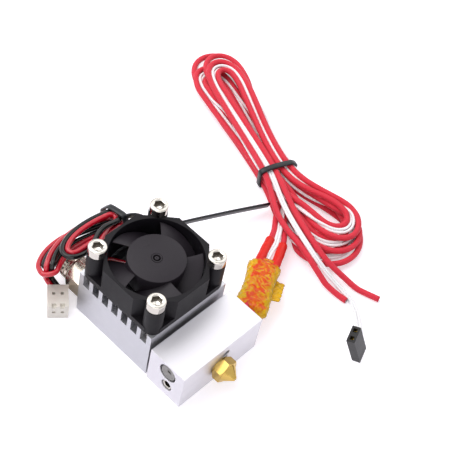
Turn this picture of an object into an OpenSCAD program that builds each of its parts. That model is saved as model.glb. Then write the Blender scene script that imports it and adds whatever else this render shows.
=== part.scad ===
// Two-into-one hotend: finned cold block with fan, heater block with one nozzle,
// push-in tube fittings and wiring. It lies on the back face of the cold block.
// Millimetres. Origin: centre of that back face. +Z to the fan, -Y to the nozzle.

/* [Heatsink] */
// How far the square heatsink reaches past the fan on each side
sink_margin = 0; // [0:0.25:3]
// Height of the heatsink from its back face to the fan
sink_h = 18; // [17:0.5:24]
// Number of fin slots
slot_count = 7; // [5:1:8]
// Distance from slot to slot
slot_pitch = 4; // [3:0.1:4]
// Width of one fin slot
slot_w = 2.5; // [1:0.1:2.6]
// Depth of the fin slots
slot_depth = 4.5; // [2:0.1:5]
// Distance between the two filament paths
path_gap = 18; // [17:0.5:19]
// Height of the filament paths above the back face
path_z = 6.6; // [6.2:0.1:6.9]
// Distance between the two mounting holes in the back face
mount_gap = 16; // [10:1:20]
// Depth of the mounting holes
mount_depth = 6; // [3:0.5:10]
// Radius of the mounting holes
mount_r = 1.25; // [1:0.05:2]

/* [Fan] */
// Width of the square fan
fan_w = 30; // [28:0.5:34]
// Height of the fan
fan_h = 10; // [10:0.5:12]
// Distance of the fan screws from the fan's edges
screw_inset = 3; // [2.9:0.05:3.1]
// Thickness of the fan's mounting flange
flange_t = 2; // [1.5:0.1:2.5]
// Radius of the fan's corner posts
post_r = 2.9; // [2.5:0.1:3]
// Wall of the air duct where it is thinnest
duct_wall = 0.9; // [0.8:0.1:1.2]
// Gap between blade tips and duct
tip_gap = 0.45; // [0.3:0.05:0.8]
// Radius of the rotor hub
hub_r = 8.25; // [8:0.05:8.8]
// Wall of the rotor hub
hub_wall = 0.75; // [0.6:0.05:0.9]
// Number of blades
blade_count = 5; // [3:1:7]
// Thickness of a blade
blade_t = 0.9; // [0.6:0.1:1.2]
// Length of a blade along its pitch line
blade_len = 11; // [8:0.5:12]
// Pitch of the blades from the plane of the fan, degrees
blade_pitch = 30; // [20:1:32]
// Radius of the fan shaft
shaft_r = 1; // [0.8:0.05:1.2]
// Running clearance of the shaft in its bearing
run_gap = 0.03; // [0.02:0.01:0.08]
// Wall of the sleeve bearing
bearing_wall = 1.2; // [0.8:0.1:1.3]
// Length of the sleeve bearing
bearing_len = 4.6; // [3:0.1:5]

/* [Fan screws] */
// Radius of the screw thread
bolt_r = 1.5; // [1.4:0.05:1.5]
// Length of the screws under the head
bolt_len = 16; // [13:0.5:16]
// Radius of the screw head
bolt_head_r = 2.75; // [2.5:0.05:2.8]
// Height of the screw head
bolt_head_h = 3; // [2:0.1:4]
// Width across flats of the screw sockets
bolt_key = 2.5; // [2:0.1:2.6]
// Clearance of a fastener in its hole
fit_gap = 0.05; // [0.03:0.01:0.1]

/* [Heater block] */
// Length of the heater block
block_len = 32; // [31:0.5:36]
// Sideways offset of the heater block from the nozzle
block_shift = 0.5; // [0:0.1:1]
// Depth of the heater block along the filament path
block_d = 13.4; // [13.4:0.1:16]
// Height of the heater block
block_h = 14.3; // [14.2:0.1:17]
// Air gap between the heatsink and the heater block
break_gap = 1; // [0.8:0.1:2]
// Radius of the heater cartridge
cartridge_r = 3; // [2.8:0.05:3]
// Length of the heater cartridge
cartridge_len = 20; // [15:0.5:30]
// Height of the cartridge bore
cartridge_z = 10.6; // [10.6:0.05:10.8]
// Distance of the cartridge bore from the front of the block
cartridge_in = 6.2; // [6.1:0.05:6.6]
// Clearance round the cartridge
cartridge_gap = 0.12; // [0.08:0.01:0.15]
// Radius of the melt channels
channel_r = 0.9; // [0.5:0.05:0.9]
// Height of the cross channel
cross_z = 4.8; // [4.6:0.05:4.9]
// Radius of the cross channel
cross_r = 1.3; // [1.1:0.05:1.4]
// Radius of the channel plug screw
plug_screw_r = 1.9; // [1.6:0.05:1.9]
// Length of the channel plug screw
plug_screw_len = 4; // [3:0.1:5]
// Radius of the thermistor bore
thermistor_r = 1; // [0.8:0.05:1]
// Depth of the thermistor bore
thermistor_depth = 7; // [4:0.5:8]
// Radius of the cartridge clamp screw
clamp_r = 1.25; // [1:0.05:1.25]
// Sideways place of the cartridge clamp screw
clamp_x = 2; // [2:0.1:4]

/* [Nozzle and heat breaks] */
// Radius of the nozzle and heat break threads
thread_r = 3; // [2.9:0.05:3]
// Length of the nozzle thread inside the block
nozzle_thread_len = 3.1; // [2:0.1:3.1]
// Width across flats of the nozzle
nozzle_key = 7; // [6.5:0.1:7.5]
// Thickness of the nozzle hexagon
nozzle_hex_h = 3; // [2:0.1:4]
// Gap between the nozzle hexagon and the block
nozzle_gap = 0.5; // [0.3:0.1:1]
// Length of the nozzle cone
nozzle_cone_h = 3; // [2:0.1:4]
// Radius of the nozzle's flat tip
tip_r = 0.55; // [0.4:0.05:0.8]
// Radius of the nozzle orifice
orifice_r = 0.2; // [0.15:0.05:0.3]
// Thread length of a heat break in the block
break_in_block = 4; // [3:0.1:4]
// Thread length of a heat break in the heatsink
break_in_sink = 11; // [8:0.5:12]
// Radius of the thin neck of a heat break
neck_r = 2; // [1.6:0.1:2.4]

/* [Tube fittings] */
// Radius of the filament tube
tube_r = 2; // [1.9:0.05:2]
// Thread length of a fitting in the heatsink
fitting_thread_len = 6; // [4:0.5:6.5]
// Width across flats of a fitting
fitting_key = 10; // [9:0.5:11]
// Length of the fitting's hexagon
fitting_hex_len = 6.6; // [6:0.1:8]
// Radius of the fitting's round collar
collar_r = 4.45; // [4.2:0.05:4.6]
// Length of the fitting's round collar
collar_len = 3.6; // [3:0.1:4]
// Radius of the release collet's sleeve
sleeve_r = 2.9; // [2.7:0.05:2.95]
// Radius of the release collet's flange
collet_r = 3.9; // [3.5:0.05:4.2]
// Thickness of the release collet's flange
collet_t = 1.6; // [1:0.1:2]
// Travel of the release collet
collet_travel = 1; // [0.5:0.1:1.5]

/* [Wiring] */
// Radius of a red heater wire
red_r = 1; // [0.8:0.05:1.1]
// Radius of a white thermistor wire
white_r = 0.5; // [0.35:0.05:0.6]
// Radius of a fan wire
fan_wire_r = 0.75; // [0.6:0.05:0.8]
// Radius of the red insulating sleeves
heat_sleeve_r = 1.6; // [1.4:0.05:1.8]
// Height of the wire hank
hank_h = 8; // [6:0.5:9]
// Thickness of the fan lead's coil
coil_t = 4.6; // [4:0.1:5]

/* [Hidden] */
$fn = 64;

eps = 0.01;                                  // overlap that keeps cuts clean
smooth_fn = 8;                               // sides of a swept wire
tangent_bite = 0.05;                         // how far a tangent line sinks into its circles
cut = 1;                                     // how far a cut runs past the face that it opens
sink_w = fan_w + 2 * sink_margin;
half = sink_w / 2;
paths = [-path_gap / 2, path_gap / 2];
slot_floor_z = sink_h - slot_depth;

// Fan
half_fan = fan_w / 2;
fan_top = sink_h + fan_h;
screw_at = half_fan - screw_inset;
duct_r = half_fan - duct_wall;
octagon_turn = 22.5;
octagon_r = half_fan / cos(octagon_turn);
base_t = 1.2;                                // floor of the motor mount
board_t = 0.6;
board_gap = 0.4;
rotor_gap = 1;                               // between the motor mount and the rotor
blade_inset = 1;                             // of the blades below the top of the fan
hub_inset = 0.3;                             // of the hub below the top of the fan
hub_lift = 0.2;                              // of the hub's rim above the foot of the blades
blade_z0 = sink_h + base_t + rotor_gap;
blade_z1 = fan_top - blade_inset;
hub_top = fan_top - hub_inset;
hub_chamfer = 0.5;
hub_bottom = blade_z0 + hub_lift;
blade_r = duct_r - tip_gap;
yoke_t = 0.4;
yoke_r = hub_r - hub_wall;
magnet_t = 0.7;
magnet_r = yoke_r - yoke_t;
bearing_in = shaft_r + run_gap;
bearing_out = shaft_r + run_gap + bearing_wall;
tower_wall = 0.6;
tower_r = bearing_out + tower_wall;
bearing_z = sink_h + base_t;
bearing_top = bearing_z + bearing_len;
core_gap = 0.35;                             // between the stator core and the magnet
core_r = magnet_r - magnet_t - core_gap;
core_lift = 0.9;                             // of the stator core above the circuit board
core_z = bearing_z + board_gap + board_t + core_lift;
core_t = 1.6;
coil_wrap = 0.5;
pole_count = 4;
pole_w = 1.6;
pole_shoe = 0.7;
pole_root = 1;
pole_turn = 45;
clip_t = 0.23;
clip_wall = 0.38;
ring_inset = 0.2;                            // of the rings inside the hub from its ends
strut_count = 3;
strut_w = 2.6;
strut_turn = 150;                            // direction of the strut beside the lead
notch_x = -7.5;
notch_room = 0.3;                            // round the lead in its channel
notch_w = 4 * fan_wire_r + 2 * notch_room;
notch_h = 2 * fan_wire_r + notch_room;       // floor to roof of the lead's channel

// Heater block
block_back = -half - break_gap;
block_front = block_back - block_d;
block_x0 = block_shift - block_len / 2;
block_x1 = block_shift + block_len / 2;
cartridge_y = block_front + cartridge_in;
cartridge_bore_r = cartridge_r + cartridge_gap;
cartridge_x0 = block_x0 + 0.2;
cartridge_dimple = 0.4;
cross_in = 5.8;
cross_y = block_front + cross_in;
cross_end = paths[1] + channel_r;
thermistor_in = 2.4;
thermistor_y = block_front + thermistor_in;
thermistor_z = 4.5;
thermistor_inset = 0.2;
clamp_inset = 0.8;
plug_inset = 0.3;
chamfer = 0.3;

// Nozzle, along -Y from the block
nozzle_hex_y = block_front - nozzle_gap;
nozzle_face_y = nozzle_hex_y - nozzle_hex_h;
nozzle_tip_y = nozzle_face_y - nozzle_cone_h;
nozzle_in_y = block_front + nozzle_thread_len;
nozzle_shoulder = 0.3;
nozzle_cone_r = nozzle_key / 2 - nozzle_shoulder;

// Heat breaks and liners, along Y
break_y0 = block_back - break_in_block;
break_y1 = -half + break_in_sink;
tube_bore_r = tube_r + fit_gap;
liner_seat = 4;                              // of the liner in the heat break and the fitting
liner_y0 = break_y1 - liner_seat;
liner_y1 = half - fitting_thread_len + liner_seat;
filament_r = 1;

// Fittings, along +Y from the heatsink
hex_end_y = half + fitting_hex_len;
collar_end_y = hex_end_y + collar_len;
stack_gap = 0.2;                             // between the pieces inside a fitting
seat_gap = 0.02;                             // round a piece that is seated in a fitting
seal_y = liner_y1 + stack_gap;
seal_t = 1.4;
grip_y = seal_y + seal_t + stack_gap;
grip_t = 0.4;
grip_bite = 0.1;                             // how far the teeth reach into the tube
tooth_count = 8;
tooth_slot = 0.3;
cavity_r = sleeve_r + run_gap + seat_gap;
collet_gap = 0.2;                            // round the tube in the collet
collet_bore_r = tube_r + collet_gap;
collet_lead_in = 0.3;
collet_in_y = grip_y + grip_t + collet_travel + stack_gap + 0.1;
collet_out_y = collar_end_y + collet_travel + 0.1;
groove_w = 0.5;
groove_depth = 0.35;
rim = 0.5;                                   // chamfer of the collar's end
hex_bevel = 0.06;                            // bevel of a hexagon's corners, as a share of its key

// Routes of the heater wires: round numbers, chosen along the way that they lie
tape_route = [[16.6, -23, 9], [18.4, -23, 9], [23, -21, 9], [28.4, -18, 8.4], [34, -14.8, 7.4], [38, -12.6, 6.6]];
sleeve_left_ends = [[33, -12.8, 7.4], [47, -6.6, 4.6]];
sleeve_right_ends = [[35, -17.4, 7], [48.6, -10.6, 4.2]];
red_left_in = [[16.6, -22.4, 11], [22, -20, 10.2], [28, -15.6, 8.6], [33, -12.8, 7.4]];
red_right_in = [[16.6, -24.2, 10.4], [22, -23.6, 9.4], [29, -20.8, 7.8], [35, -17.4, 7]];
red_left_run = [[47, -6.6, 4.6], [51, -4.6, 3.8], [55, -1.8, 3.4], [59, 2, 3.2]];
red_right_run = [[48.6, -10.6, 4.2], [52, -8.2, 3.6], [55.5, -5, 3.2]];
white_in = [[16.6, -26.8, 4.5], [20, -26, 5], [26, -22.4, 6], [33, -16.2, 6.8], [40, -11.4, 6.4]];
white_run = [[40, -11.4, 6.4], [44.6, -10.2, 5.6], [49, -7.6, 4.6], [53, -5.2, 4], [56.5, -2.8, 3.6]];
red_left_tail = [[51.6, -21, 4.6], [50.2, -26, 2.4], [50, -30.5, 1.2], [50, -34, 1.1], [50.4, -37, 1.1]];
red_right_tail = [[56.4, -26.4, 4.2], [55.6, -30.5, 2], [56.2, -35, 1.1], [57.4, -39.4, 1.1], [59, -43.4, 1.1]];
white_tail = [
    [54.2, -24.8, 4], [53.6, -30, 1.8], [53.2, -34.5, 0.7], [52, -39, 0.6], [49, -43.2, 0.6],
    [45.4, -46.8, 0.6], [42, -50, 0.6], [39.8, -52, 0.8], [38.6, -53.2, 1.8], [37.4, -53, 3.4]
];

// Hank: two lobes and a pinched neck
lobe_far = [86.5, 57.5, 9.8];                // centre x, centre y, radius
lobe_mid = [79.4, 37, 8.8];
neck_far = [72.2, 21, 6];
neck_near = [67, 5, 6];
lobe_near = [63.6, -15.6, 13.4];
hank_z0 = 0.1;
tie_at = [69.7, 13];
tie_turn = 71;                               // direction of the hank at the tie
tie_t = 1;
tie_w = 1.8;
neck_h = 5.4;
neck_z0 = tie_t + 0.3;                       // the neck lies on the tie
neck_pinch = 1;                              // how much narrower the bundle is inside the tie

// Thermistor connector, standing on the bend of its leads
connector_base = [36.9, -53.1, 3.4];
connector_turn = [-15.5, -15.7, 21.5];
connector_w = 5.2;
connector_t = 2.6;
connector_len = 14;
contact_pitch = 2.54;
contact_hole = 1.2;
contact_depth = 8;
contact_w = 1;
contact_wall = 0.2;
contact_inset = 1.5;                         // of the contacts below the connector's mouth

// Fan lead
coil_at = [0, 24.5, 15.1];
coil_tilt = -20;
coil_left = [-17.2, 6.8];                    // place along X, radius
coil_right = [8, 3.2];
coil_hole_left = 3.6;                        // radii of the space inside the loops
coil_hole_right = 1.8;
coil_hole_end = 0;                           // where that space ends along X
lead_z = sink_h + fan_wire_r + fit_gap;      // the lead lies on the fins, below the rotor
lead_channel = [[-2.6, 4.8], [-3.8, 8.2], [-5.8, 11.4], [notch_x, 13.8], [notch_x, 16.4]];
lead_exit_route = concat([for (p = lead_channel) [p[0], p[1], lead_z]], [[-6.6, 18.6, lead_z - 0.3]]);
lead_end_route = [
    [-21.6, 26.2, 12.2], [-21.8, 28.4, 10.4], [-20.6, 30.4, 7.8], [-18.2, 31, 5.4], [-15.8, 29.4, 3.8],
    [-14.8, 26.8, 3], [-15.2, 24.2, 2.8], [-16.5, 22, 2.9]
];
plug_at = [-19.1, 18.9, 0];
plug_turn = -39.6;
plug_w = 6.2;
plug_len = 8;
plug_t = 5.7;
plug_pitch = 2.5;
plug_hole = 0.9;
plug_window_y = 0.4;                         // windows of the contacts, from the middle of the plug
plug_notch = [1.3, 1.2, 0.9];                // notches over the holes at the mating end
plug_play = 0.05;                            // round a contact in the plug

// Cable tie round the coil
band_t = 1;
band_corner = 1.2;                           // inner corner of a band round a bundle
band_gap = 0.1;                              // between a band and its bundle
band_w = 2.5;
band_x = 8.6;
head_size = [4.4, 3, 3.2];
band_lean = 35;                              // lean of the band's free end from upright
band_tail_route = [
    [11.4, 20.6, 17.6], [14.4, 19.2, 14.6], [16.4, 17.6, 10.4], [22, 15.8, 7.6], [34, 11.8, 5.6],
    [46, 7.8, 3.8], [58, 3.8, 1.7]
];

black = "#1c1a1e";
steel = "#d8d6d2";
aluminium = "#dcdce0";
nickel = "#cfcac2";
brass = "#c9a24a";
red = "#e0243c";
white = "#f0eeee";
amber = "#f29a1e";

// ---------- helpers ----------

// Round bar along Y from y0 to y1
module bar_y(x, z, y0, y1, r) {
    translate([x, y0, z]) rotate([-90, 0, 0]) cylinder(r = r, h = y1 - y0);
}

// Round bar along X from x0 to x1
module bar_x(y, z, x0, x1, r) {
    translate([x0, y, z]) rotate([0, 90, 0]) cylinder(r = r, h = x1 - x0);
}

// Ring along Z
module ring(r_out, r_in, z0, z1) {
    translate([0, 0, z0]) difference() {
        cylinder(r = r_out, h = z1 - z0);
        translate([0, 0, -eps]) cylinder(r = r_in, h = z1 - z0 + 2 * eps);
    }
}

// Hexagonal prism along Y with flats facing +X and -X
module hex_y(x, z, y0, y1, key) {
    translate([x, y0, z]) rotate([-90, 30, 0]) cylinder(r = key / 2 / cos(30), h = y1 - y0, $fn = 6);
}

// The same hexagon with its corners turned off at both ends
module turned_hex(x, z, y0, length, key) {
    bevel = key * hex_bevel;
    intersection() {
        hex_y(x, z, y0, y0 + length, key);
        translate([x, y0, z]) rotate([-90, 0, 0]) rotate_extrude() polygon([
            [0, 0], [key / 2, 0], [key / 2 + 1.5 * bevel, bevel],
            [key / 2 + 1.5 * bevel, length - bevel], [key / 2, length], [0, length]
        ]);
    }
}

// Outline round two circles of unlike radius, both given as [x, y, radius]
module tangent_outline(a, b) {
    gap = norm([b[0] - a[0], b[1] - a[1]]);
    turn = atan2(b[1] - a[1], b[0] - a[0]);
    lean = acos((a[2] - b[2]) / gap);
    ra = a[2] - tangent_bite;
    rb = b[2] - tangent_bite;
    polygon([
        for (s = [lean, -lean]) [a[0] + ra * cos(turn + s), a[1] + ra * sin(turn + s)],
        for (s = [-lean, lean]) [b[0] + rb * cos(turn + s), b[1] + rb * sin(turn + s)]
    ]);
    translate([a[0], a[1]]) circle(r = a[2]);
    translate([b[0], b[1]]) circle(r = b[2]);
}

function unit(v) = v / norm(v);

// Direction of a route at point i
function heading(route, i) =
    unit(route[min(i + 1, len(route) - 1)] - route[max(i - 1, 0)]);

// Sideways direction at point i, level where the route allows
function sideways(route, i) =
    let (t = heading(route, i), flat = cross(t, [0, 0, 1]))
    norm(flat) > 0.3 ? unit(flat) : unit(cross(t, [0, 1, 0]));

// Solid swept along a route with a section given as [sideways, upwards] pairs
module sweep(route, section) {
    n = len(section);
    m = len(route);
    points = [
        for (i = [0 : m - 1])
            let (t = heading(route, i), side = sideways(route, i), up = cross(side, t))
            for (p = section) route[i] + p[0] * side + p[1] * up
    ];
    walls = [
        for (i = [0 : m - 2]) for (j = [0 : n - 1])
            let (k = (j + 1) % n, a = i * n, b = a + n)
            each [[a + j, a + k, b + k], [a + j, b + k, b + j]]
    ];
    start = [[for (j = [n - 1 : -1 : 0]) j]];
    finish = [[for (j = [0 : n - 1]) (m - 1) * n + j]];
    polyhedron(points = points, faces = concat(walls, start, finish), convexity = 8);
}

// Round section of radius r, moved sideways by shift
function round_section(r, shift = 0) =
    [for (i = [0 : smooth_fn - 1]) [shift + r * cos(360 * i / smooth_fn), r * sin(360 * i / smooth_fn)]];

module wire(route, r) {
    sweep(route, round_section(r));
}

// Two wires side by side
module wire_pair(route, r) {
    for (side = [-1, 1]) sweep(route, round_section(r, side * (r + eps)));
}

// Socket-head screw pointing down -Z from its head's underside at the origin
module cap_screw(r, length, head_r, head_h, key) {
    difference() {
        union() {
            translate([0, 0, -length]) cylinder(r = r, h = length + eps);
            cylinder(r = head_r, h = head_h - chamfer);
            translate([0, 0, head_h - chamfer]) cylinder(r1 = head_r, r2 = head_r - chamfer, h = chamfer);
        }
        translate([0, 0, head_h * 0.45])
            cylinder(r = key / 2 / cos(30), h = head_h, $fn = 6);
    }
}

// ---------- heatsink ----------

module heatsink() {
    color(aluminium) difference() {
        translate([-half, -half, 0]) cube([sink_w, sink_w, sink_h]);
        for (i = [0 : slot_count - 1])
            translate([-half - cut, (i - (slot_count - 1) / 2) * slot_pitch - slot_w / 2, slot_floor_z])
                cube([sink_w + 2 * cut, slot_w, slot_depth + cut]);
        for (x = [-screw_at, screw_at]) for (y = [-screw_at, screw_at])
            translate([x, y, fan_top - bolt_len - cut / 2]) cylinder(r = bolt_r + fit_gap, h = sink_h);
        for (x = paths) {
            bar_y(x, path_z, -half - cut, break_y1 + fit_gap, thread_r + fit_gap);
            bar_y(x, path_z, -half, half, tube_bore_r);
            bar_y(x, path_z, half - fitting_thread_len, half + cut, thread_r + fit_gap);
        }
        for (y = [-mount_gap / 2, mount_gap / 2])
            translate([0, y, -cut]) cylinder(r = mount_r, h = mount_depth + cut);
    }
}

module heat_break(x) {
    color(steel) difference() {
        union() {
            bar_y(x, path_z, break_y0 + fit_gap, block_back, thread_r);
            bar_y(x, path_z, block_back - eps, -half + eps, neck_r);
            bar_y(x, path_z, -half, break_y1, thread_r);
        }
        bar_y(x, path_z, break_y0 - cut, break_y1 + cut, filament_r);
        bar_y(x, path_z, liner_y0 - fit_gap, break_y1 + cut, tube_bore_r);
    }
}

module tube_liner(x) {
    color(white) difference() {
        bar_y(x, path_z, liner_y0, liner_y1, tube_r);
        bar_y(x, path_z, liner_y0 - cut, liner_y1 + cut, filament_r);
    }
}

// ---------- heater block ----------

module heater_block() {
    color(aluminium) difference() {
        translate([block_x0, block_front, 0]) cube([block_len, block_d, block_h]);
        bar_x(cartridge_y, cartridge_z, block_x0 - cut, block_x1 + cut, cartridge_bore_r);
        bar_x(cross_y, cross_z, block_x0 - cut, cross_end, cross_r);
        bar_x(cross_y, cross_z, block_x0 - cut, block_x0 + plug_inset + plug_screw_len, plug_screw_r + fit_gap);
        bar_x(thermistor_y, thermistor_z, block_x1 - thermistor_depth, block_x1 + cut, thermistor_r + fit_gap);
        for (x = paths) {
            bar_y(x, path_z, break_y0, block_back + cut, thread_r + fit_gap);
            bar_y(x, path_z, cross_y, block_back, channel_r);
        }
        bar_y(0, path_z, block_front - cut, nozzle_in_y + fit_gap, thread_r + fit_gap);
        bar_y(0, path_z, block_front, cross_y, channel_r);
        bar_y(clamp_x, cartridge_z, block_front - cut, cartridge_y, clamp_r + fit_gap);
    }
}

module nozzle() {
    color(brass) difference() {
        union() {
            bar_y(0, path_z, nozzle_hex_y, nozzle_in_y, thread_r);
            turned_hex(0, path_z, nozzle_face_y, nozzle_hex_h, nozzle_key);
            translate([0, nozzle_face_y + eps, path_z]) rotate([90, 0, 0])
                cylinder(r1 = nozzle_cone_r, r2 = tip_r, h = nozzle_cone_h);
        }
        bar_y(0, path_z, nozzle_face_y, nozzle_in_y + cut, filament_r);
        bar_y(0, path_z, nozzle_tip_y - cut, nozzle_face_y + eps, orifice_r);
    }
}

module heater_cartridge() {
    color(steel) difference() {
        bar_x(cartridge_y, cartridge_z, cartridge_x0, cartridge_x0 + cartridge_len, cartridge_r);
        bar_x(cartridge_y, cartridge_z, cartridge_x0 - cut, cartridge_x0 + cartridge_dimple, cartridge_dimple);
    }
}

module thermistor() {
    color(steel)
        bar_x(thermistor_y, thermistor_z, block_x1 - thermistor_depth + thermistor_inset,
              block_x1 - thermistor_inset, thermistor_r);
}

// Headless screw along Y that pins the cartridge
module cartridge_clamp_screw() {
    color(black) difference() {
        bar_y(clamp_x, cartridge_z, block_front + clamp_inset, cartridge_y - cartridge_r - fit_gap, clamp_r);
        translate([clamp_x, block_front, cartridge_z]) rotate([-90, 0, 0])
            cylinder(r = clamp_r / 2, h = 2 * clamp_inset, $fn = 6);
    }
}

// Headless screw along X that closes the drilled cross channel
module channel_plug_screw() {
    color(steel) difference() {
        bar_x(cross_y, cross_z, block_x0 + plug_inset, block_x0 + plug_inset + plug_screw_len, plug_screw_r);
        translate([block_x0, cross_y, cross_z]) rotate([0, 90, 0])
            cylinder(r = plug_screw_r * 0.62, h = plug_screw_len / 2, $fn = 6);
    }
}

// ---------- fan ----------

module fan_frame() {
    color(black) {
        difference() {
            union() {
                translate([0, 0, sink_h]) rotate([0, 0, octagon_turn])
                    cylinder(r = octagon_r, h = fan_h, $fn = 8);
                translate([-half_fan, -screw_at, sink_h]) cube([fan_w, 2 * screw_at, flange_t]);
                translate([-screw_at, -half_fan, sink_h]) cube([2 * screw_at, fan_w, flange_t]);
                for (x = [-screw_at, screw_at]) for (y = [-screw_at, screw_at])
                    translate([x, y, sink_h]) cylinder(r = post_r, h = fan_h);
            }
            translate([0, 0, sink_h - cut]) cylinder(r = duct_r, h = fan_h + 2 * cut);
            for (x = [-screw_at, screw_at]) for (y = [-screw_at, screw_at])
                translate([x, y, sink_h - cut]) cylinder(r = bolt_r + 2 * fit_gap, h = fan_h + 2 * cut);
            lead_cut();
        }
        difference() {
            motor_mount();
            lead_cut();
        }
    }
}

// Channel that the fan's lead lies in, from the circuit board to the wall
module lead_cut() {
    steps = [for (i = [0 : len(lead_channel) - 1]) i];
    across = [for (i = steps) let (t = heading(lead_channel, i)) notch_w / 2 * [-t[1], t[0]]];
    translate([0, 0, sink_h - cut]) linear_extrude(notch_h + cut) polygon(concat(
        [for (i = steps) lead_channel[i] + across[i]],
        [for (i = steps) lead_channel[len(steps) - 1 - i] - across[len(steps) - 1 - i]]));
}

// Floor, struts and bearing tower inside the duct
module motor_mount() {
    translate([0, 0, sink_h]) difference() {
        union() {
            cylinder(r = hub_r, h = base_t);
            intersection() {
                cylinder(r = duct_r + duct_wall / 3, h = base_t);
                for (i = [0 : strut_count - 1])
                    rotate([0, 0, strut_turn + i * 360 / strut_count])
                        translate([0, -strut_w / 2, 0]) cube([fan_w, strut_w, base_t]);
            }
            cylinder(r = tower_r, h = base_t + bearing_len);
        }
        translate([0, 0, base_t]) cylinder(r = bearing_out, h = bearing_len + cut);
        translate([0, 0, base_t / 2]) cylinder(r = shaft_r + clip_wall + fit_gap, h = bearing_len);
    }
}

module fan_rotor() {
    color(black) {
        difference() {
            union() {
                translate([0, 0, hub_bottom]) cylinder(r = hub_r, h = hub_top - hub_bottom - hub_chamfer);
                translate([0, 0, hub_top - hub_chamfer])
                    cylinder(r1 = hub_r, r2 = hub_r - hub_chamfer, h = hub_chamfer);
                for (i = [0 : blade_count - 1]) blade(i * 360 / blade_count);
            }
            translate([0, 0, hub_bottom - cut]) cylinder(r = yoke_r, h = hub_top - hub_bottom - hub_wall + cut);
            translate([0, 0, hub_bottom]) cylinder(r = shaft_r, h = hub_top);
        }
        ring(shaft_r + hub_wall, shaft_r, bearing_top + board_gap, hub_top - hub_wall + eps);
    }
}

// One flat pitched blade between the hub and the duct
module blade(turn) {
    intersection() {
        ring(blade_r, hub_r - hub_wall / 2, blade_z0, blade_z1);
        rotate([0, 0, turn]) translate([yoke_r, 0, (blade_z0 + blade_z1) / 2])
            rotate([-blade_pitch, 0, 0])
                translate([0, -blade_len / 2, -blade_t / 2]) cube([fan_w, blade_len, blade_t]);
    }
}

module fan_yoke_ring() {
    color(steel) ring(yoke_r, magnet_r, hub_bottom, hub_top - hub_wall - ring_inset);
}

module fan_magnet() {
    color("#4a4440")
        ring(magnet_r, magnet_r - magnet_t, hub_bottom + ring_inset, hub_top - hub_wall - 4 * ring_inset);
}

module fan_shaft() {
    foot = bearing_z - clip_t - 2 * fit_gap;
    color(steel) translate([0, 0, foot]) cylinder(r = shaft_r, h = hub_top - fit_gap - foot);
}

module fan_bearing() {
    color("#b08a50") ring(bearing_out, bearing_in, bearing_z, bearing_top - ring_inset);
}

// Washer that keeps the shaft in the bearing, seated below it
module fan_shaft_clip() {
    color(white) ring(shaft_r + clip_wall, shaft_r, bearing_z - fit_gap - clip_t, bearing_z - fit_gap);
}

module fan_stator_core() {
    color("#8a8a90") {
        ring(tower_r + pole_root, tower_r, core_z, core_z + core_t);
        for (i = [0 : pole_count - 1]) rotate([0, 0, pole_turn + i * 360 / pole_count]) {
            translate([tower_r + pole_root / 2, -pole_w / 2, core_z])
                cube([core_r - tower_r - pole_root / 2 - pole_shoe / 2, pole_w, core_t]);
            intersection() {
                ring(core_r, core_r - pole_shoe, core_z, core_z + core_t);
                translate([0, -core_r / 2, core_z - cut]) cube([core_r + cut, core_r, core_t + 2 * cut]);
            }
        }
    }
}

module fan_stator_coils() {
    start = tower_r + pole_root + 0.15;
    color("#b5622c") for (i = [0 : pole_count - 1]) rotate([0, 0, pole_turn + i * 360 / pole_count])
        difference() {
            translate([start, -pole_w / 2 - coil_wrap, core_z - coil_wrap])
                cube([core_r - pole_shoe - 0.25 - start, pole_w + 2 * coil_wrap, core_t + 2 * coil_wrap]);
            translate([0, -pole_w / 2, core_z]) cube([core_r, pole_w, core_t]);
        }
}

module fan_circuit_board() {
    color("#2f6b3c")
        ring(core_r, tower_r + fit_gap, bearing_z + board_gap, bearing_z + board_gap + board_t);
}

module fan_screws() {
    color(steel) for (x = [-screw_at, screw_at]) for (y = [-screw_at, screw_at])
        translate([x, y, fan_top]) cap_screw(bolt_r, bolt_len, bolt_head_r, bolt_head_h, bolt_key);
}

// ---------- tube fittings ----------

// Body turned about its axis: threaded nose, hexagon and grooved collar
module tube_fitting(x) {
    color(nickel) difference() {
        union() {
            bar_y(x, path_z, half - fitting_thread_len + fit_gap, half + eps, thread_r);
            turned_hex(x, path_z, half, fitting_hex_len, fitting_key);
            translate([x, hex_end_y - eps, path_z]) rotate([-90, 0, 0]) rotate_extrude() polygon([
                [0, 0], [collar_r - groove_depth, 0], [collar_r - groove_depth, groove_w],
                [collar_r, groove_w + groove_depth], [collar_r, collar_len / 2 - groove_w / 2],
                [collar_r - groove_depth, collar_len / 2], [collar_r, collar_len / 2 + groove_w / 2],
                [collar_r, collar_len - rim], [collar_r - rim, collar_len + eps], [0, collar_len + eps]
            ]);
        }
        bar_y(x, path_z, 0, collar_end_y + cut, tube_bore_r);
        bar_y(x, path_z, seal_y, collar_end_y + cut, cavity_r);
    }
}

module fitting_seal(x) {
    color(black) translate([0, seal_y + seat_gap, 0]) difference() {
        bar_y(x, path_z, 0, seal_t, cavity_r - seat_gap);
        bar_y(x, path_z, -cut, seal_t + cut, tube_bore_r);
    }
}

// Toothed steel ring that bites the tube
module grip_ring(x) {
    color(steel) translate([0, grip_y, 0]) difference() {
        bar_y(x, path_z, 0, grip_t, cavity_r - seat_gap);
        bar_y(x, path_z, -cut, grip_t + cut, tube_r - grip_bite);
        for (i = [0 : tooth_count - 1])
            translate([x, -cut, path_z]) rotate([0, i * 360 / tooth_count, 0])
                translate([0, 0, -tooth_slot / 2])
                    cube([(tube_r + cavity_r) / 2, grip_t + 2 * cut, tooth_slot]);
    }
}

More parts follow.
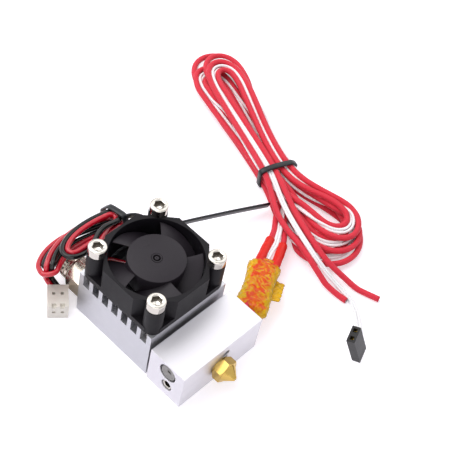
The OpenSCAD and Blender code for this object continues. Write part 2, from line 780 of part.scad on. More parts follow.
// Flanged sleeve that is pushed in to free the tube
module release_collet(x) {
    color(black) translate([x, 0, path_z]) rotate([-90, 0, 0]) rotate_extrude() polygon([
        [collet_bore_r, collet_in_y], [sleeve_r, collet_in_y], [sleeve_r, collet_out_y],
        [collet_r, collet_out_y], [collet_r, collet_out_y + collet_t - collet_lead_in],
        [collet_r - collet_lead_in, collet_out_y + collet_t],
        [collet_bore_r + collet_lead_in, collet_out_y + collet_t],
        [collet_bore_r, collet_out_y + collet_t - collet_lead_in]
    ]);
}

// ---------- heater and thermistor wiring ----------

module cartridge_leads() {
    color(red) {
        wire(red_left_in, red_r);
        wire(red_right_in, red_r);
    }
}

module thermistor_leads() {
    color(white) wire_pair(white_in, white_r);
}

// Flattened pouch of tape folded round the joints of the wires
module insulating_tape() {
    color(amber) sweep(tape_route, [
        [-5.2, 0.4], [-4.1, 1.9], [-1.6, 3], [1.6, 3], [4.1, 1.9], [5.2, 0.4],
        [4.1, -1.6], [1.6, -2.9], [-1.6, -2.9], [-4.1, -1.6]
    ]);
}

module heat_sleeve(ends) {
    along = ends[1] - ends[0];
    color("#e0180c") translate(ends[0])
        rotate([0, acos(along[2] / norm(along)), atan2(along[1], along[0])])
            cylinder(r = heat_sleeve_r, h = norm(along), $fn = 24);
}

module heater_lead_run() {
    color(red) {
        wire(red_left_run, red_r);
        wire(red_right_run, red_r);
    }
    color(white) wire_pair(white_run, white_r);
}

module wire_hank() {
    color(red) {
        translate([0, 0, hank_z0]) linear_extrude(hank_h) {
            tangent_outline(lobe_far, lobe_mid);
            tangent_outline(lobe_mid, neck_far);
            tangent_outline(neck_near, lobe_near);
        }
        translate([0, 0, neck_z0]) linear_extrude(neck_h)
            tangent_outline(pinched(neck_far), pinched(neck_near));
    }
}

function pinched(lobe) = [lobe[0], lobe[1], lobe[2] - neck_pinch];

// Flat loop round the pinched neck
module hank_tie() {
    inner_w = neck_near[2] - neck_pinch + band_gap;
    inner_h = neck_h / 2 + band_gap;
    color(black) translate([tie_at[0], tie_at[1], neck_z0 + neck_h / 2]) rotate([0, 0, tie_turn])
        rotate([0, 90, 0]) translate([0, 0, -tie_w / 2]) linear_extrude(tie_w) difference() {
            band_outline(inner_h + tie_t, inner_w + tie_t, tie_t + band_corner);
            band_outline(inner_h, inner_w, band_corner);
        }
}

// Rectangle of half-sides a along X and b along Y, with round corners of radius r
module band_outline(a, b, r) {
    square([2 * a, 2 * (b - r)], center = true);
    square([2 * (a - r), 2 * b], center = true);
    for (x = [r - a, a - r]) for (y = [r - b, b - r]) translate([x, y]) circle(r = r);
}

module heater_tail(route) {
    color(red) wire(route, red_r);
}

module thermistor_tail() {
    color(white) wire_pair(white_tail, white_r);
}

module thermistor_connector() {
    color(black) translate(connector_base) rotate(connector_turn) difference() {
        translate([-connector_w / 2, -connector_t / 2, 0]) cube([connector_w, connector_t, connector_len]);
        for (x = [-contact_pitch / 2, contact_pitch / 2])
            translate([x - contact_hole / 2, -contact_hole / 2, connector_len - contact_depth])
                cube([contact_hole, contact_hole, contact_depth + cut]);
    }
}

module thermistor_contacts() {
    color(brass) translate(connector_base) rotate(connector_turn)
        for (x = [-contact_pitch / 2, contact_pitch / 2])
            translate([x, 0, connector_len - contact_depth]) difference() {
                translate([-contact_w / 2, -contact_w / 2, 0])
                    cube([contact_w, contact_w, contact_depth - contact_inset]);
                translate([contact_wall - contact_w / 2, contact_wall - contact_w / 2, contact_w])
                    cube([contact_w - 2 * contact_wall, contact_w - 2 * contact_wall, contact_depth]);
            }
}

// ---------- fan lead ----------

module fan_lead_exit() {
    color(red) wire_pair(lead_exit_route, fan_wire_r);
}

module fan_lead_coil() {
    color(red) translate(coil_at) rotate([coil_tilt, 0, 0]) translate([0, 0, -coil_t / 2])
        linear_extrude(coil_t) difference() {
            tangent_outline([coil_left[0], 0, coil_left[1]], [coil_right[0], 0, coil_right[1]]);
            tangent_outline([coil_left[0], 0, coil_hole_left], [coil_hole_end, 0, coil_hole_right]);
        }
}

module fan_lead_end() {
    color(black) wire_pair(lead_end_route, fan_wire_r);
}

module fan_plug() {
    color(white) translate(plug_at) rotate([0, 0, plug_turn]) difference() {
        translate([-plug_w / 2, -plug_len / 2, 0]) cube([plug_w, plug_len, plug_t]);
        for (x = [-plug_pitch / 2, plug_pitch / 2]) {
            translate([x - plug_hole / 2, -plug_len / 2 - cut, plug_t / 2 - plug_hole / 2])
                cube([plug_hole, plug_len, plug_hole]);
            translate([x - plug_hole / 2, plug_window_y, plug_t / 2])
                cube([plug_hole, plug_hole, plug_t]);
            translate([x - plug_notch[0] / 2, -plug_len / 2 - cut, plug_t - plug_notch[2]])
                cube([plug_notch[0], plug_notch[1] + cut, plug_notch[2] + cut]);
        }
    }
}

module fan_plug_contacts() {
    color(steel) translate(plug_at) rotate([0, 0, plug_turn])
        for (x = [-plug_pitch / 2, plug_pitch / 2])
            translate([x - plug_hole / 2 + plug_play, 1 - plug_len / 2, plug_t / 2 - plug_hole / 2 + plug_play])
                cube([plug_hole - 2 * plug_play, plug_len - 2.1, plug_hole - 2 * plug_play]);
}

module cable_tie() {
    inner_h = coil_t / 2 + band_gap;
    inner_w = coil_right[1] + band_gap;
    color(black) translate(coil_at) rotate([coil_tilt, 0, 0]) translate([band_x, 0, 0]) {
        rotate([0, 90, 0]) translate([0, 0, -band_w / 2]) linear_extrude(band_w) difference() {
            band_outline(inner_h + band_t, inner_w + band_t, band_t + band_corner);
            band_outline(inner_h, inner_w, band_corner);
        }
        translate([-head_size[0] / 2, -inner_w, inner_h + band_t / 2])
            cube(head_size);
    }
}

// Flat end of the tie, standing on its edge and leaning
module cable_tie_tail() {
    wide = band_w / 2 * [sin(band_lean), cos(band_lean)];
    thick = band_t / 2 * [cos(band_lean), -sin(band_lean)];
    color(black) sweep(band_tail_route, [wide - thick, -wide - thick, -wide + thick, wide + thick]);
}

heatsink();
heat_break(paths[0]);  // heat_break_left
heat_break(paths[1]);  // heat_break_right
tube_liner(paths[0]);  // tube_liner_left
tube_liner(paths[1]);  // tube_liner_right
heater_block();
nozzle();
heater_cartridge();
thermistor();
cartridge_clamp_screw();
channel_plug_screw();
fan_frame();
fan_rotor();
fan_yoke_ring();
fan_magnet();
fan_shaft();
fan_bearing();
fan_shaft_clip();
fan_stator_core();
fan_stator_coils();
fan_circuit_board();
fan_screws();
tube_fitting(paths[0]);  // tube_fitting_left
tube_fitting(paths[1]);  // tube_fitting_right
fitting_seal(paths[0]);  // fitting_seal_left
fitting_seal(paths[1]);  // fitting_seal_right
grip_ring(paths[0]);  // grip_ring_left
grip_ring(paths[1]);  // grip_ring_right
release_collet(paths[0]);  // release_collet_left
release_collet(paths[1]);  // release_collet_right
cartridge_leads();
thermistor_leads();
insulating_tape();
heat_sleeve(sleeve_left_ends);  // heat_sleeve_left
heat_sleeve(sleeve_right_ends);  // heat_sleeve_right
heater_lead_run();
wire_hank();
hank_tie();
heater_tail(red_left_tail);  // heater_tail_left
heater_tail(red_right_tail);  // heater_tail_right
thermistor_tail();
thermistor_connector();
thermistor_contacts();
fan_lead_exit();
fan_lead_coil();
fan_lead_end();
fan_plug();
fan_plug_contacts();
cable_tie();
cable_tie_tail();
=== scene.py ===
"""Looks of a two-into-one hotend that lies on the back of its cold block.

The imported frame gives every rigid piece. This script adds the free wires at their real length, the
pieces that need finer shapes than the frame's, and a finish for every surface. Lengths in the
classes are millimetres; meshes are metres in the frame's axes: +Z to the fan, -Y to the nozzle.
"""

import logging
import math
from dataclasses import dataclass, field
from enum import Enum

import bmesh
import bpy
import numpy as np
from mathutils import Matrix, Vector


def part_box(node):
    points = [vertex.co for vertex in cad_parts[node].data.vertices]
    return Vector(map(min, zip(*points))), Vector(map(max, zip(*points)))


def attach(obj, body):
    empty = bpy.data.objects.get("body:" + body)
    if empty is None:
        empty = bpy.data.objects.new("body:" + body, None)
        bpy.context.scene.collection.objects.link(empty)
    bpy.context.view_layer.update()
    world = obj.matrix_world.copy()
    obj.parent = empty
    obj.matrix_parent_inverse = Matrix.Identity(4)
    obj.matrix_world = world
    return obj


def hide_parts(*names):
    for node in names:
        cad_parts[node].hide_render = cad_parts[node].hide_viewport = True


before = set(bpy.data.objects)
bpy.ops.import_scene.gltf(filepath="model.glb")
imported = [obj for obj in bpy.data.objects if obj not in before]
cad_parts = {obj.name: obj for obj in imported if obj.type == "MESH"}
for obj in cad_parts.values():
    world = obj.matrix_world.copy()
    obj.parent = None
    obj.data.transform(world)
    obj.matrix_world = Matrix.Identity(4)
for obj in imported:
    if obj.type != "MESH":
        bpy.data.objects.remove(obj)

Array = np.ndarray
Piece = bpy.types.Object
Socket = bpy.types.NodeSocket
Tree = bpy.types.NodeTree
MM = 0.001
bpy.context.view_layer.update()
LOG = logging.getLogger("hotend")


# ---------------------------------------------------------------- curves and meshes


def unit(vectors: Array) -> Array:
    """Vectors scaled to length one along the last axis."""
    return vectors / np.maximum(np.linalg.norm(vectors, axis=-1, keepdims=True), 1e-9)


def resample(points: Array, spacing: float) -> Array:
    """Points at an even spacing along a polyline.

    Args:
        points: (n, 3) corners of the polyline.
        spacing: wanted distance from point to point.

    Returns:
        (m, 3) points; the first and last are the polyline's own ends.
    """
    steps = np.linalg.norm(np.diff(points, axis=0), axis=1)
    along = np.concatenate([[0.0], np.cumsum(steps)])
    count = max(2, int(round(along[-1] / spacing)) + 1)
    wanted = np.linspace(0.0, along[-1], count)
    return np.stack([np.interp(wanted, along, points[:, k]) for k in range(points.shape[1])], axis=1)


def flowing(points: list | Array, spacing: float) -> Array:
    """A smooth curve through points, evenly spaced.

    Between two points the curve is the Catmull-Rom cubic: it leaves each point parallel to the line
    from the one before to the one after.

    Args:
        points: the points that the curve passes.
        spacing: distance between the points returned.

    Returns:
        (m, 3) points along the curve.
    """
    p = np.asarray(points, float)
    p = np.vstack([2 * p[0] - p[1], p, 2 * p[-1] - p[-2]])
    a, b, c, d = p[:-3, None], p[1:-2, None], p[2:-1, None], p[3:, None]
    t = np.linspace(0.0, 1.0, 24, endpoint=False)[None, :, None]
    cubic = 0.5 * (
        2 * b + (c - a) * t + (2 * a - 5 * b + 4 * c - d) * t**2 + (3 * b - a - 3 * c + d) * t**3
    )
    return resample(np.vstack([cubic.reshape(-1, p.shape[1]), p[-2:-1]]), spacing)


def transported_frames(path: Array) -> tuple[Array, Array]:
    """Side and up directions along a path that turn with it and never twist about it.

    Each step carries the side vector over from the ring before and takes out what lies along the
    new heading.

    Args:
        path: (n, 3) points.

    Returns:
        Two (n, 3) arrays of unit vectors, side and up.
    """
    heading = unit(np.gradient(path, axis=0))
    start = np.cross(heading[0], [0.0, 0.0, 1.0])
    if np.linalg.norm(start) < 0.1:
        start = np.cross(heading[0], [0.0, 1.0, 0.0])
    side = np.empty_like(path)
    side[0] = start / np.linalg.norm(start)
    for i in range(1, len(path)):
        carried = side[i - 1] - heading[i] * np.dot(side[i - 1], heading[i])
        side[i] = carried / np.linalg.norm(carried)
    return side, np.cross(side, heading)


def solid(name: str, points: Array, faces: list, smooth: bool = True, crisp: float = 180.0) -> Piece:
    """A mesh object at the origin from points in millimetres, its faces turned outwards.

    Args:
        name: the object's name.
        points: (n, 3) corners.
        faces: corner numbers of each face.
        smooth: smooth or flat shading.
        crisp: edges that turn more than this many degrees stay sharp under smooth shading.

    Returns:
        The object.
    """
    mesh = bpy.data.meshes.new(name)
    mesh.from_pydata((np.asarray(points, float) * MM).tolist(), [], faces)
    made = bmesh.new()
    made.from_mesh(mesh)
    bmesh.ops.recalc_face_normals(made, faces=made.faces)
    made.to_mesh(mesh)
    made.free()
    mesh.polygons.foreach_set("use_smooth", [smooth] * len(mesh.polygons))
    if smooth and crisp < 180.0:
        mesh.set_sharp_from_angle(angle=math.radians(crisp))
    piece = bpy.data.objects.new(name, mesh)
    bpy.context.scene.collection.objects.link(piece)
    return piece


def grid_faces(rows: int, cols: int, close_rows: bool, close_cols: bool) -> Array:
    """Quads of a grid of points numbered row by row.

    Args:
        rows: number of rows.
        cols: number of points in a row.
        close_rows: True joins the last row to the first.
        close_cols: True joins the last point of each row to its first.

    Returns:
        (n, 4) point numbers.
    """
    i = np.arange(rows if close_rows else rows - 1)[:, None]
    j = np.arange(cols if close_cols else cols - 1)[None, :]
    k, m = (i + 1) % rows, (j + 1) % cols
    return np.stack([i * cols + j, i * cols + m, k * cols + m, k * cols + j], axis=-1).reshape(-1, 4)


def skin(name: str, grid: Array, closed: bool = False) -> Piece:
    """A closed body from rings of points.

    The surface is a function of two parameters: the row picks the ring along the body, the column
    the place round it.

    Args:
        name: the object's name.
        grid: (rows, cols, 3) points in millimetres; every row is one ring.
        closed: True joins the last ring to the first, as on a torus; otherwise both ends get a cap.

    Returns:
        The object, with a UV map: u round the ring from 0 to 1, v along the body in metres.
    """
    rows, cols = grid.shape[:2]
    quads = grid_faces(rows, cols, closed, True)
    faces = quads.tolist()
    if not closed:
        faces += [list(range(cols)), list(range((rows - 1) * cols, rows * cols))]
    piece = solid(name, grid.reshape(-1, 3), faces)
    middle = grid.mean(axis=1)
    along = np.concatenate([[0.0], np.cumsum(np.linalg.norm(np.diff(middle, axis=0), axis=1))]) * MM
    mesh = piece.data
    loops = np.empty(len(mesh.loops), int)
    mesh.loops.foreach_get("vertex_index", loops)
    starts = np.empty(len(mesh.polygons), int)
    sizes = np.empty(len(mesh.polygons), int)
    mesh.polygons.foreach_get("loop_start", starts)
    mesh.polygons.foreach_get("loop_total", sizes)
    u = (loops % cols) / cols
    v = along[loops // cols]
    face = np.repeat(np.arange(len(sizes)), sizes)
    widest = np.zeros(len(sizes))
    np.maximum.at(widest, face, u)
    u = np.where((widest[face] > 0.75) & (u < 0.25) & (sizes[face] == 4), u + 1.0, u)
    layer = mesh.uv_layers.new(name="UVMap")
    layer.data.foreach_set("uv", np.stack([u, v], axis=1).ravel())
    return piece


def bodies(name: str, grids: list[Array], crisp: float = 30.0) -> Piece:
    """One object of several closed bodies.

    Args:
        name: the object's name.
        grids: (rows, cols, 3) rings of each body; its first and last ring get a cap.
        crisp: edges that turn more than this many degrees stay sharp.

    Returns:
        The object.
    """
    points, faces, start = [], [], 0
    for grid in grids:
        rows, cols = grid.shape[:2]
        faces += (grid_faces(rows, cols, False, True) + start).tolist()
        for ring in (start, start + (rows - 1) * cols):
            faces.append(list(range(ring, ring + cols)))
        points.append(grid.reshape(-1, 3))
        start += rows * cols
    return solid(name, np.vstack(points), faces, crisp=crisp)


def turned(profile: list, sides: int) -> Array:
    """Rings of a body turned about Z: ring k is the circle of radius r at height z of profile[k].

    Args:
        profile: (r, z) pairs in millimetres.
        sides: number of points round a ring.

    Returns:
        (len(profile), sides, 3) points.
    """
    r, z = np.array(profile, float).T
    turn = np.linspace(0.0, 2 * math.pi, sides, endpoint=False)[None, :]
    flat = np.stack([r[:, None] * np.cos(turn), r[:, None] * np.sin(turn)], axis=-1)
    return np.concatenate([flat, np.broadcast_to(z[:, None, None], (len(z), sides, 1))], axis=-1)


def hexagon(across: float, sides: int) -> Array:
    """Radius of a hexagon with this width across its flats, in each of so many directions."""
    turn = np.degrees(np.linspace(0.0, 2 * math.pi, sides, endpoint=False))
    return across / 2 / np.cos(np.radians((turn + 30) % 60 - 30))


def tube(name: str, path: Array, radius: float | Array, sides: int) -> Piece:
    """A round tube: ring i is the circle of radius r about path[i], across its heading.

    Args:
        name: the object's name.
        path: (n, 3) points of the middle line.
        radius: one radius, or one for each point.
        sides: number of points round a ring.

    Returns:
        The object.
    """
    side, up = transported_frames(path)
    turn = np.linspace(0.0, 2 * math.pi, sides, endpoint=False)
    r = np.broadcast_to(np.asarray(radius, float), (len(path),))[:, None, None]
    ring = np.cos(turn)[None, :, None] * side[:, None] + np.sin(turn)[None, :, None] * up[:, None]
    return skin(name, path[:, None] + r * ring)


# ---------------------------------------------------------------- finishes


def linear(colour: str) -> tuple[float, float, float, float]:
    """Linear RGBA of an sRGB hex colour such as "#d8d8dc"."""
    parts = [int(colour[i : i + 2], 16) / 255 for i in (1, 3, 5)]
    return (*[c / 12.92 if c <= 0.04045 else ((c + 0.055) / 1.055) ** 2.4 for c in parts], 1.0)


def add_node(tree: Tree, kind: str, inputs: dict | None = None, **settings) -> bpy.types.Node:
    """Adds one node.

    Args:
        tree: the node tree.
        kind: the node's type, such as "ShaderNodeBump".
        inputs: input name or index to a value, or to the output socket that feeds it.
        settings: the node's own properties.

    Returns:
        The node.
    """
    node = tree.nodes.new(kind)
    for name, value in settings.items():
        setattr(node, name, value)
    for key, value in (inputs or {}).items():
        if isinstance(value, Socket):
            tree.links.new(value, node.inputs[key])
        else:
            node.inputs[key].default_value = value
    return node


class Space(Enum):
    """Where a pattern's coordinates come from."""

    OBJECT = "Object"
    UV = "UV"


def coordinates(tree: Tree, space: Space) -> Socket:
    """The socket with a surface's coordinates in a space."""
    return add_node(tree, "ShaderNodeTexCoord").outputs[space.value]


def blank_tree(owner: bpy.types.Material | bpy.types.World) -> Tree:
    """The node tree of a material or a world, emptied.

    Args:
        owner: the material or the world.

    Returns:
        The tree.
    """
    owner.use_nodes = True
    owner.node_tree.nodes.clear()
    return owner.node_tree


@dataclass(frozen=True)
class Finish:
    """A surface: what it is made of and how it was made.

    colour and dark are sRGB; the pattern runs between them. bevel is the radius in millimetres that
    softens the edges' shine. grain is the size in millimetres of the surface's texture.
    """

    name: str
    colour: str
    roughness: float
    metallic: float = 0.0
    ior: float = 1.5
    dark: str = ""
    mottle: float = 2.0
    spread: float = 0.06
    grain: float = 0.12
    relief: float = 0.008
    stretch: tuple[float, float, float] = (1.0, 1.0, 1.0)
    bevel: float = 0.12
    coat: float = 0.0
    sheen: float = 0.0
    specular: float = 0.5

    def between(self, tree: Tree, share: Socket) -> Socket:
        """Colour between the dark and the full shade.

        Args:
            tree: the material's nodes.
            share: 0 for the dark shade to 1 for the full one.

        Returns:
            The colour's socket.
        """
        ramp = add_node(tree, "ShaderNodeMix", data_type="RGBA")
        tree.links.new(share, ramp.inputs["Factor"])
        ramp.inputs["A"].default_value = linear(self.dark or self.colour)
        ramp.inputs["B"].default_value = linear(self.colour)
        return ramp.outputs["Result"]

    def tint(self, tree: Tree, place: Socket) -> Socket:
        """Colour that drifts between the two shades over a few millimetres."""
        cloud = add_node(tree, "ShaderNodeTexNoise", {"Vector": place, "Scale": 1 / (self.mottle * MM)})
        return self.between(tree, cloud.outputs["Fac"])

    def height(self, tree: Tree, place: Socket) -> Socket:
        """Height of the surface's grain, from 0 to 1."""
        inputs = {"Vector": place, "Scale": 1 / (self.grain * MM), "Detail": 3.0}
        return add_node(tree, "ShaderNodeTexNoise", inputs).outputs["Fac"]

    def build(self) -> bpy.types.Material:
        """The finished material, made once and then shared.

        Returns:
            The material.
        """
        known = bpy.data.materials.get(self.name)
        if known:
            return known
        material = bpy.data.materials.new(self.name)
        tree = blank_tree(material)
        place = add_node(
            tree, "ShaderNodeMapping", {"Vector": coordinates(tree, Space.OBJECT), "Scale": self.stretch}
        ).outputs["Vector"]
        cloud = add_node(tree, "ShaderNodeTexNoise", {"Vector": place, "Scale": 1 / (self.mottle * MM)})
        rough = add_node(
            tree,
            "ShaderNodeMapRange",
            {
                "Value": cloud.outputs["Fac"],
                "To Min": max(0.02, self.roughness - self.spread),
                "To Max": self.roughness + self.spread,
            },
        )
        soft = add_node(tree, "ShaderNodeBevel", {"Radius": self.bevel * MM}, samples=4)
        bump = add_node(
            tree,
            "ShaderNodeBump",
            {
                "Height": self.height(tree, place),
                "Normal": soft.outputs["Normal"],
                "Distance": self.relief * MM,
                "Strength": 1.0,
            },
        )
        shader = add_node(
            tree,
            "ShaderNodeBsdfPrincipled",
            {
                "Base Color": self.tint(tree, place),
                "Roughness": rough.outputs["Result"],
                "Normal": bump.outputs["Normal"],
                "Metallic": self.metallic,
                "Coat Weight": self.coat,
                "Sheen Weight": self.sheen,
                "Specular IOR Level": self.specular,
            },
        )
        if not self.metallic:
            shader.inputs["IOR"].default_value = self.ior
        self.finish_shader(tree, shader)
        return material

    def finish_shader(self, tree: Tree, shader: bpy.types.Node) -> None:
        """Joins the shader to the material's output."""
        add_node(tree, "ShaderNodeOutputMaterial", {"Surface": shader.outputs["BSDF"]})


@dataclass(frozen=True)
class Braid(Finish):
    """Glass-fibre sleeve braided in two crossing lays, with painted shade in the gaps between the strands.

    The height is the greater of two sets of stripes, one for each lay, in the tube's own UV: u runs
    round the wire and v along it. pitch is the length in millimetres of one full turn of a strand,
    and strands is how many cross a turn. Real strands are a third as wide: these are as coarse as
    they need to be to show.
    """

    pitch: float = 5.0
    strands: int = 6

    def height(self, tree: Tree, place: Socket) -> Socket:
        """Height of the woven strands: high in the middle of each, low where they cross under.

        Args:
            tree: the material's nodes.
            place: not used, because a braid follows the wire's own UV.

        Returns:
            The height's socket.
        """
        parts = add_node(tree, "ShaderNodeSeparateXYZ", {"Vector": coordinates(tree, Space.UV)})
        stripes = 2 * math.pi * self.strands
        scaled = [
            add_node(tree, "ShaderNodeMath", {0: parts.outputs[axis], 1: rate}, operation="MULTIPLY")
            for axis, rate in (("X", stripes), ("Y", stripes / (self.pitch * MM)))
        ]
        around, along = (node.outputs[0] for node in scaled)
        lays = []
        for operation in ("ADD", "SUBTRACT"):
            phase = add_node(tree, "ShaderNodeMath", {0: along, 1: around}, operation=operation)
            wave = add_node(tree, "ShaderNodeMath", {0: phase.outputs[0]}, operation="SINE")
            lay = add_node(tree, "ShaderNodeMath", {0: wave.outputs[0]}, operation="ABSOLUTE")
            lays.append(lay.outputs[0])
        return add_node(tree, "ShaderNodeMath", {0: lays[0], 1: lays[1]}, operation="MAXIMUM").outputs[0]

    def tint(self, tree: Tree, place: Socket) -> Socket:
        """Full colour on the strands and the dark shade, painted shade, in the gaps between them."""
        return self.between(tree, self.height(tree, place))


@dataclass(frozen=True)
class Film(Finish):
    """Thin clear polymer tape, crinkled: part of the light passes straight through it.

    On a pouch made of rings the film is deeper in colour over the wires in its middle than at its
    two flat sides, where it is empty.
    """

    cover: float = 0.5
    clear: str = "#ffffff"
    # size in millimetres of the crinkles
    crinkle: float = 1.3
    # how ragged the change of colour is, and where it starts and ends
    ragged: float = 5.0
    change: tuple[float, float] = (1.3, 2.6)

    def tint(self, tree: Tree, place: Socket) -> Socket:
        """Dark shade over the middle and full colour at the sides, with a ragged change between.

        The share is the cosine of two turns round the ring, plus a cloud.

        Args:
            tree: the material's nodes.
            place: coordinates of the cloud.

        Returns:
            The colour's socket.
        """
        parts = add_node(tree, "ShaderNodeSeparateXYZ", {"Vector": coordinates(tree, Space.UV)})
        two_turns = {0: parts.outputs["X"], 1: 4 * math.pi}
        turn = add_node(tree, "ShaderNodeMath", two_turns, operation="MULTIPLY")
        side = add_node(tree, "ShaderNodeMath", {0: turn.outputs[0]}, operation="COSINE")
        inputs = {"Vector": place, "Scale": 1 / (self.mottle * MM), "Distortion": 1.5}
        cloud = add_node(tree, "ShaderNodeTexNoise", inputs)
        ragged = add_node(
            tree,
            "ShaderNodeMath",
            {0: cloud.outputs["Fac"], 1: self.ragged, 2: side.outputs[0]},
            operation="MULTIPLY_ADD",
        )
        share = add_node(
            tree,
            "ShaderNodeMapRange",
            {"Value": ragged.outputs[0], "From Min": self.change[0], "From Max": self.change[1]},
        )
        return self.between(tree, share.outputs["Result"])

    def height(self, tree: Tree, place: Socket) -> Socket:
        """Height of the crinkles: cones about scattered points, which meet in sharp creases."""
        inputs = {"Vector": place, "Scale": 1 / (self.crinkle * MM)}
        return add_node(tree, "ShaderNodeTexVoronoi", inputs).outputs["Distance"]

    def finish_shader(self, tree: Tree, shader: bpy.types.Node) -> None:
        """Mixes the film with a tinted clear one and lays a gloss over both that grows at the edges.

        Args:
            tree: the material's nodes.
            shader: the film's own shader.
        """
        normal = shader.inputs["Normal"].links[0].from_socket
        clear = add_node(tree, "ShaderNodeBsdfTransparent", {"Color": linear(self.clear)})
        mixed = add_node(
            tree,
            "ShaderNodeMixShader",
            {"Fac": self.cover, 1: clear.outputs["BSDF"], 2: shader.outputs["BSDF"]},
        )
        gloss = add_node(
            tree, "ShaderNodeBsdfAnisotropic", {"Roughness": self.roughness, "Normal": normal}
        )
        edge = add_node(tree, "ShaderNodeFresnel", {"IOR": self.ior, "Normal": normal})
        both = add_node(
            tree,
            "ShaderNodeMixShader",
            {"Fac": edge.outputs["Fac"], 1: mixed.outputs["Shader"], 2: gloss.outputs["BSDF"]},
        )
        add_node(tree, "ShaderNodeOutputMaterial", {"Surface": both.outputs["Shader"]})


# Clear-anodised, milled 6061 aluminium: pale, satin, with faint cutter lines along X.
HEATSINK_ALUMINIUM = Finish(
    "milled_aluminium", "#c2c2c7", 0.42, 1.0, dark="#b6b6bc", grain=0.2, relief=0.003,
    stretch=(0.08, 1.0, 1.0),
)
# Satin aluminium: pale and hazed all over by fine rubbing marks.
BLOCK_ALUMINIUM = Finish(
    "satin_aluminium", "#d8d6db", 0.52, 1.0, dark="#cfcdd3", grain=0.15, relief=0.002, bevel=0.3,
    stretch=(0.1, 1.0, 1.0),
)
# Swaged steel of the heater's tube: grey from its forming, with a dull end.
HEATER_STEEL = Finish("swaged_steel", "#8d8b89", 0.36, 1.0, dark="#7a7876", relief=0.01)
# Turned stainless steel: warm grey with rings too fine to see.
STAINLESS = Finish("turned_stainless", "#c2c0bc", 0.3, 1.0, dark="#b3b1ad", relief=0.003)
# Free-cutting brass, turned and left bare.
BRASS = Finish("turned_brass", "#cfb066", 0.2, 1.0, dark="#b8974c", relief=0.002, bevel=0.08)
# Broached wall of a screw's socket: bare steel, its darker colour painted shade of the recess.
SOCKET_STEEL = Finish("socket_painted_shade", "#5a544c", 0.4, 1.0, relief=0.0)
# Bright nickel plate on steel: white metal with a soft gloss.
NICKEL = Finish("bright_nickel", "#cbc6bf", 0.14, 1.0, dark="#c4bfb8", spread=0.01, relief=0.0, bevel=0.1)
# Nickel on turned brass: a little warmer than on steel.
FITTING_NICKEL = Finish("nickel_on_brass", "#d6cdc2", 0.24, 1.0, dark="#c2b8ab", relief=0.003)
# Black oxide on steel: near black, slightly blue, oily.
BLACK_OXIDE = Finish("black_oxide_steel", "#26262b", 0.38, 0.6, relief=0.003)
# Glass-filled PBT, moulded with a fine spark-eroded texture.
FAN_PLASTIC = Finish(
    "moulded_pbt", "#161318", 0.5, dark="#100e12", grain=0.16, relief=0.012, ior=1.45, specular=0.2
)
# The hub and blades come from a smoother tool than the frame and shine more.
ROTOR_PLASTIC = Finish(
    "moulded_pbt_smooth", "#262127", 0.5, dark="#201b21", grain=0.2, relief=0.008, ior=1.45, specular=0.28
)
# Bonded ferrite: dull charcoal grey from its powder.
MAGNET = Finish("bonded_ferrite", "#3a3633", 0.55)
# Sintered bronze: dull and brown, with open pores.
BRONZE = Finish("sintered_bronze", "#9a7648", 0.5, 0.9, relief=0.01)
# Stamped steel sheets in a stack: grey with fine lines at the edges.
LAMINATION = Finish("stacked_steel", "#7d7d82", 0.45, 0.9, stretch=(1.0, 1.0, 4.0))
# Enamelled copper wire, wound: warm, glossy and ribbed.
COPPER = Finish(
    "enamelled_copper", "#b3592a", 0.28, 0.9, coat=0.6, stretch=(1.0, 1.0, 6.0), relief=0.02
)
# Glass-epoxy laminate under green lacquer: deep and glossy.
BOARD = Finish("coated_laminate", "#1f5a30", 0.3, coat=0.5)
# PTFE, extruded: white and waxy.
FLUOROPOLYMER = Finish("white_ptfe", "#f1f0ee", 0.45, ior=1.36, relief=0.003)
# Nitrile rubber, moulded: flat black.
SEAL = Finish("nitrile_rubber", "#161616", 0.6)
# Acetal collet: black, waxy, with a soft highlight.
COLLET = Finish("moulded_acetal", "#141316", 0.3, ior=1.48, relief=0.004, coat=0.2)
# Braided glass-fibre sleeve, dyed red: matt, with painted shade in the gaps between the strands.
RED_BRAID = Braid(
    "red_glass_braid", "#e8233c", 0.62, dark="#8f0a1c", grain=0.3, relief=0.06, bevel=0.02,
    sheen=0.12, pitch=5.2,
)
# The same sleeve undyed, with the same painted shade in its gaps.
WHITE_BRAID = Braid(
    "white_glass_braid", "#ffffff", 0.6, dark="#e9e2e4", grain=0.3, relief=0.03, bevel=0.02, pitch=3.4
)
# Silicone-coated sleeve: orange red and slick.
SLEEVE = Finish(
    "silicone_sleeve", "#ee1c04", 0.42, dark="#cc1002", mottle=1.2, grain=0.5, relief=0.03, specular=0.3
)
# Polyimide tape: amber, clear and glossy, crinkled by hand.
TAPE = Film(
    "polyimide_film", "#ffcf00", 0.15, dark="#ff5200", mottle=2.2, relief=0.16, ior=1.3, cover=0.62,
    clear="#ffe23c", specular=0.1,
)
# Plasticised PVC, extruded: deep, wet-looking red.
RED_PVC = Finish("red_pvc", "#d20a2c", 0.22, dark="#ba0824", mottle=6.0, coat=0.35, relief=0.002)
# The same in black.
BLACK_PVC = Finish("black_pvc", "#080607", 0.24, mottle=6.0, coat=0.2, relief=0.002, specular=0.3)
# Nylon 66, moulded: blue-black with a soft sheen.
TIE_NYLON = Finish(
    "black_nylon", "#15181d", 0.34, dark="#101318", relief=0.006, ior=1.53, specular=0.35
)
# The same undyed: ivory, slightly clouded.
PLUG_NYLON = Finish("ivory_nylon", "#e9e4da", 0.4, dark="#ded8cc", relief=0.006, ior=1.53)
# Glass-filled nylon: black and dull.
CONNECTOR = Finish("black_moulded_nylon", "#100e10", 0.46, relief=0.008, ior=1.53, specular=0.25)
# Hot-dipped tin on brass: white and satin.
TIN = Finish("tin_plate", "#c9c8c2", 0.3, 1.0)
# Thin gold plate: pale yellow and satin.
GOLD = Finish("gold_flash", "#d9b35a", 0.28, 1.0)
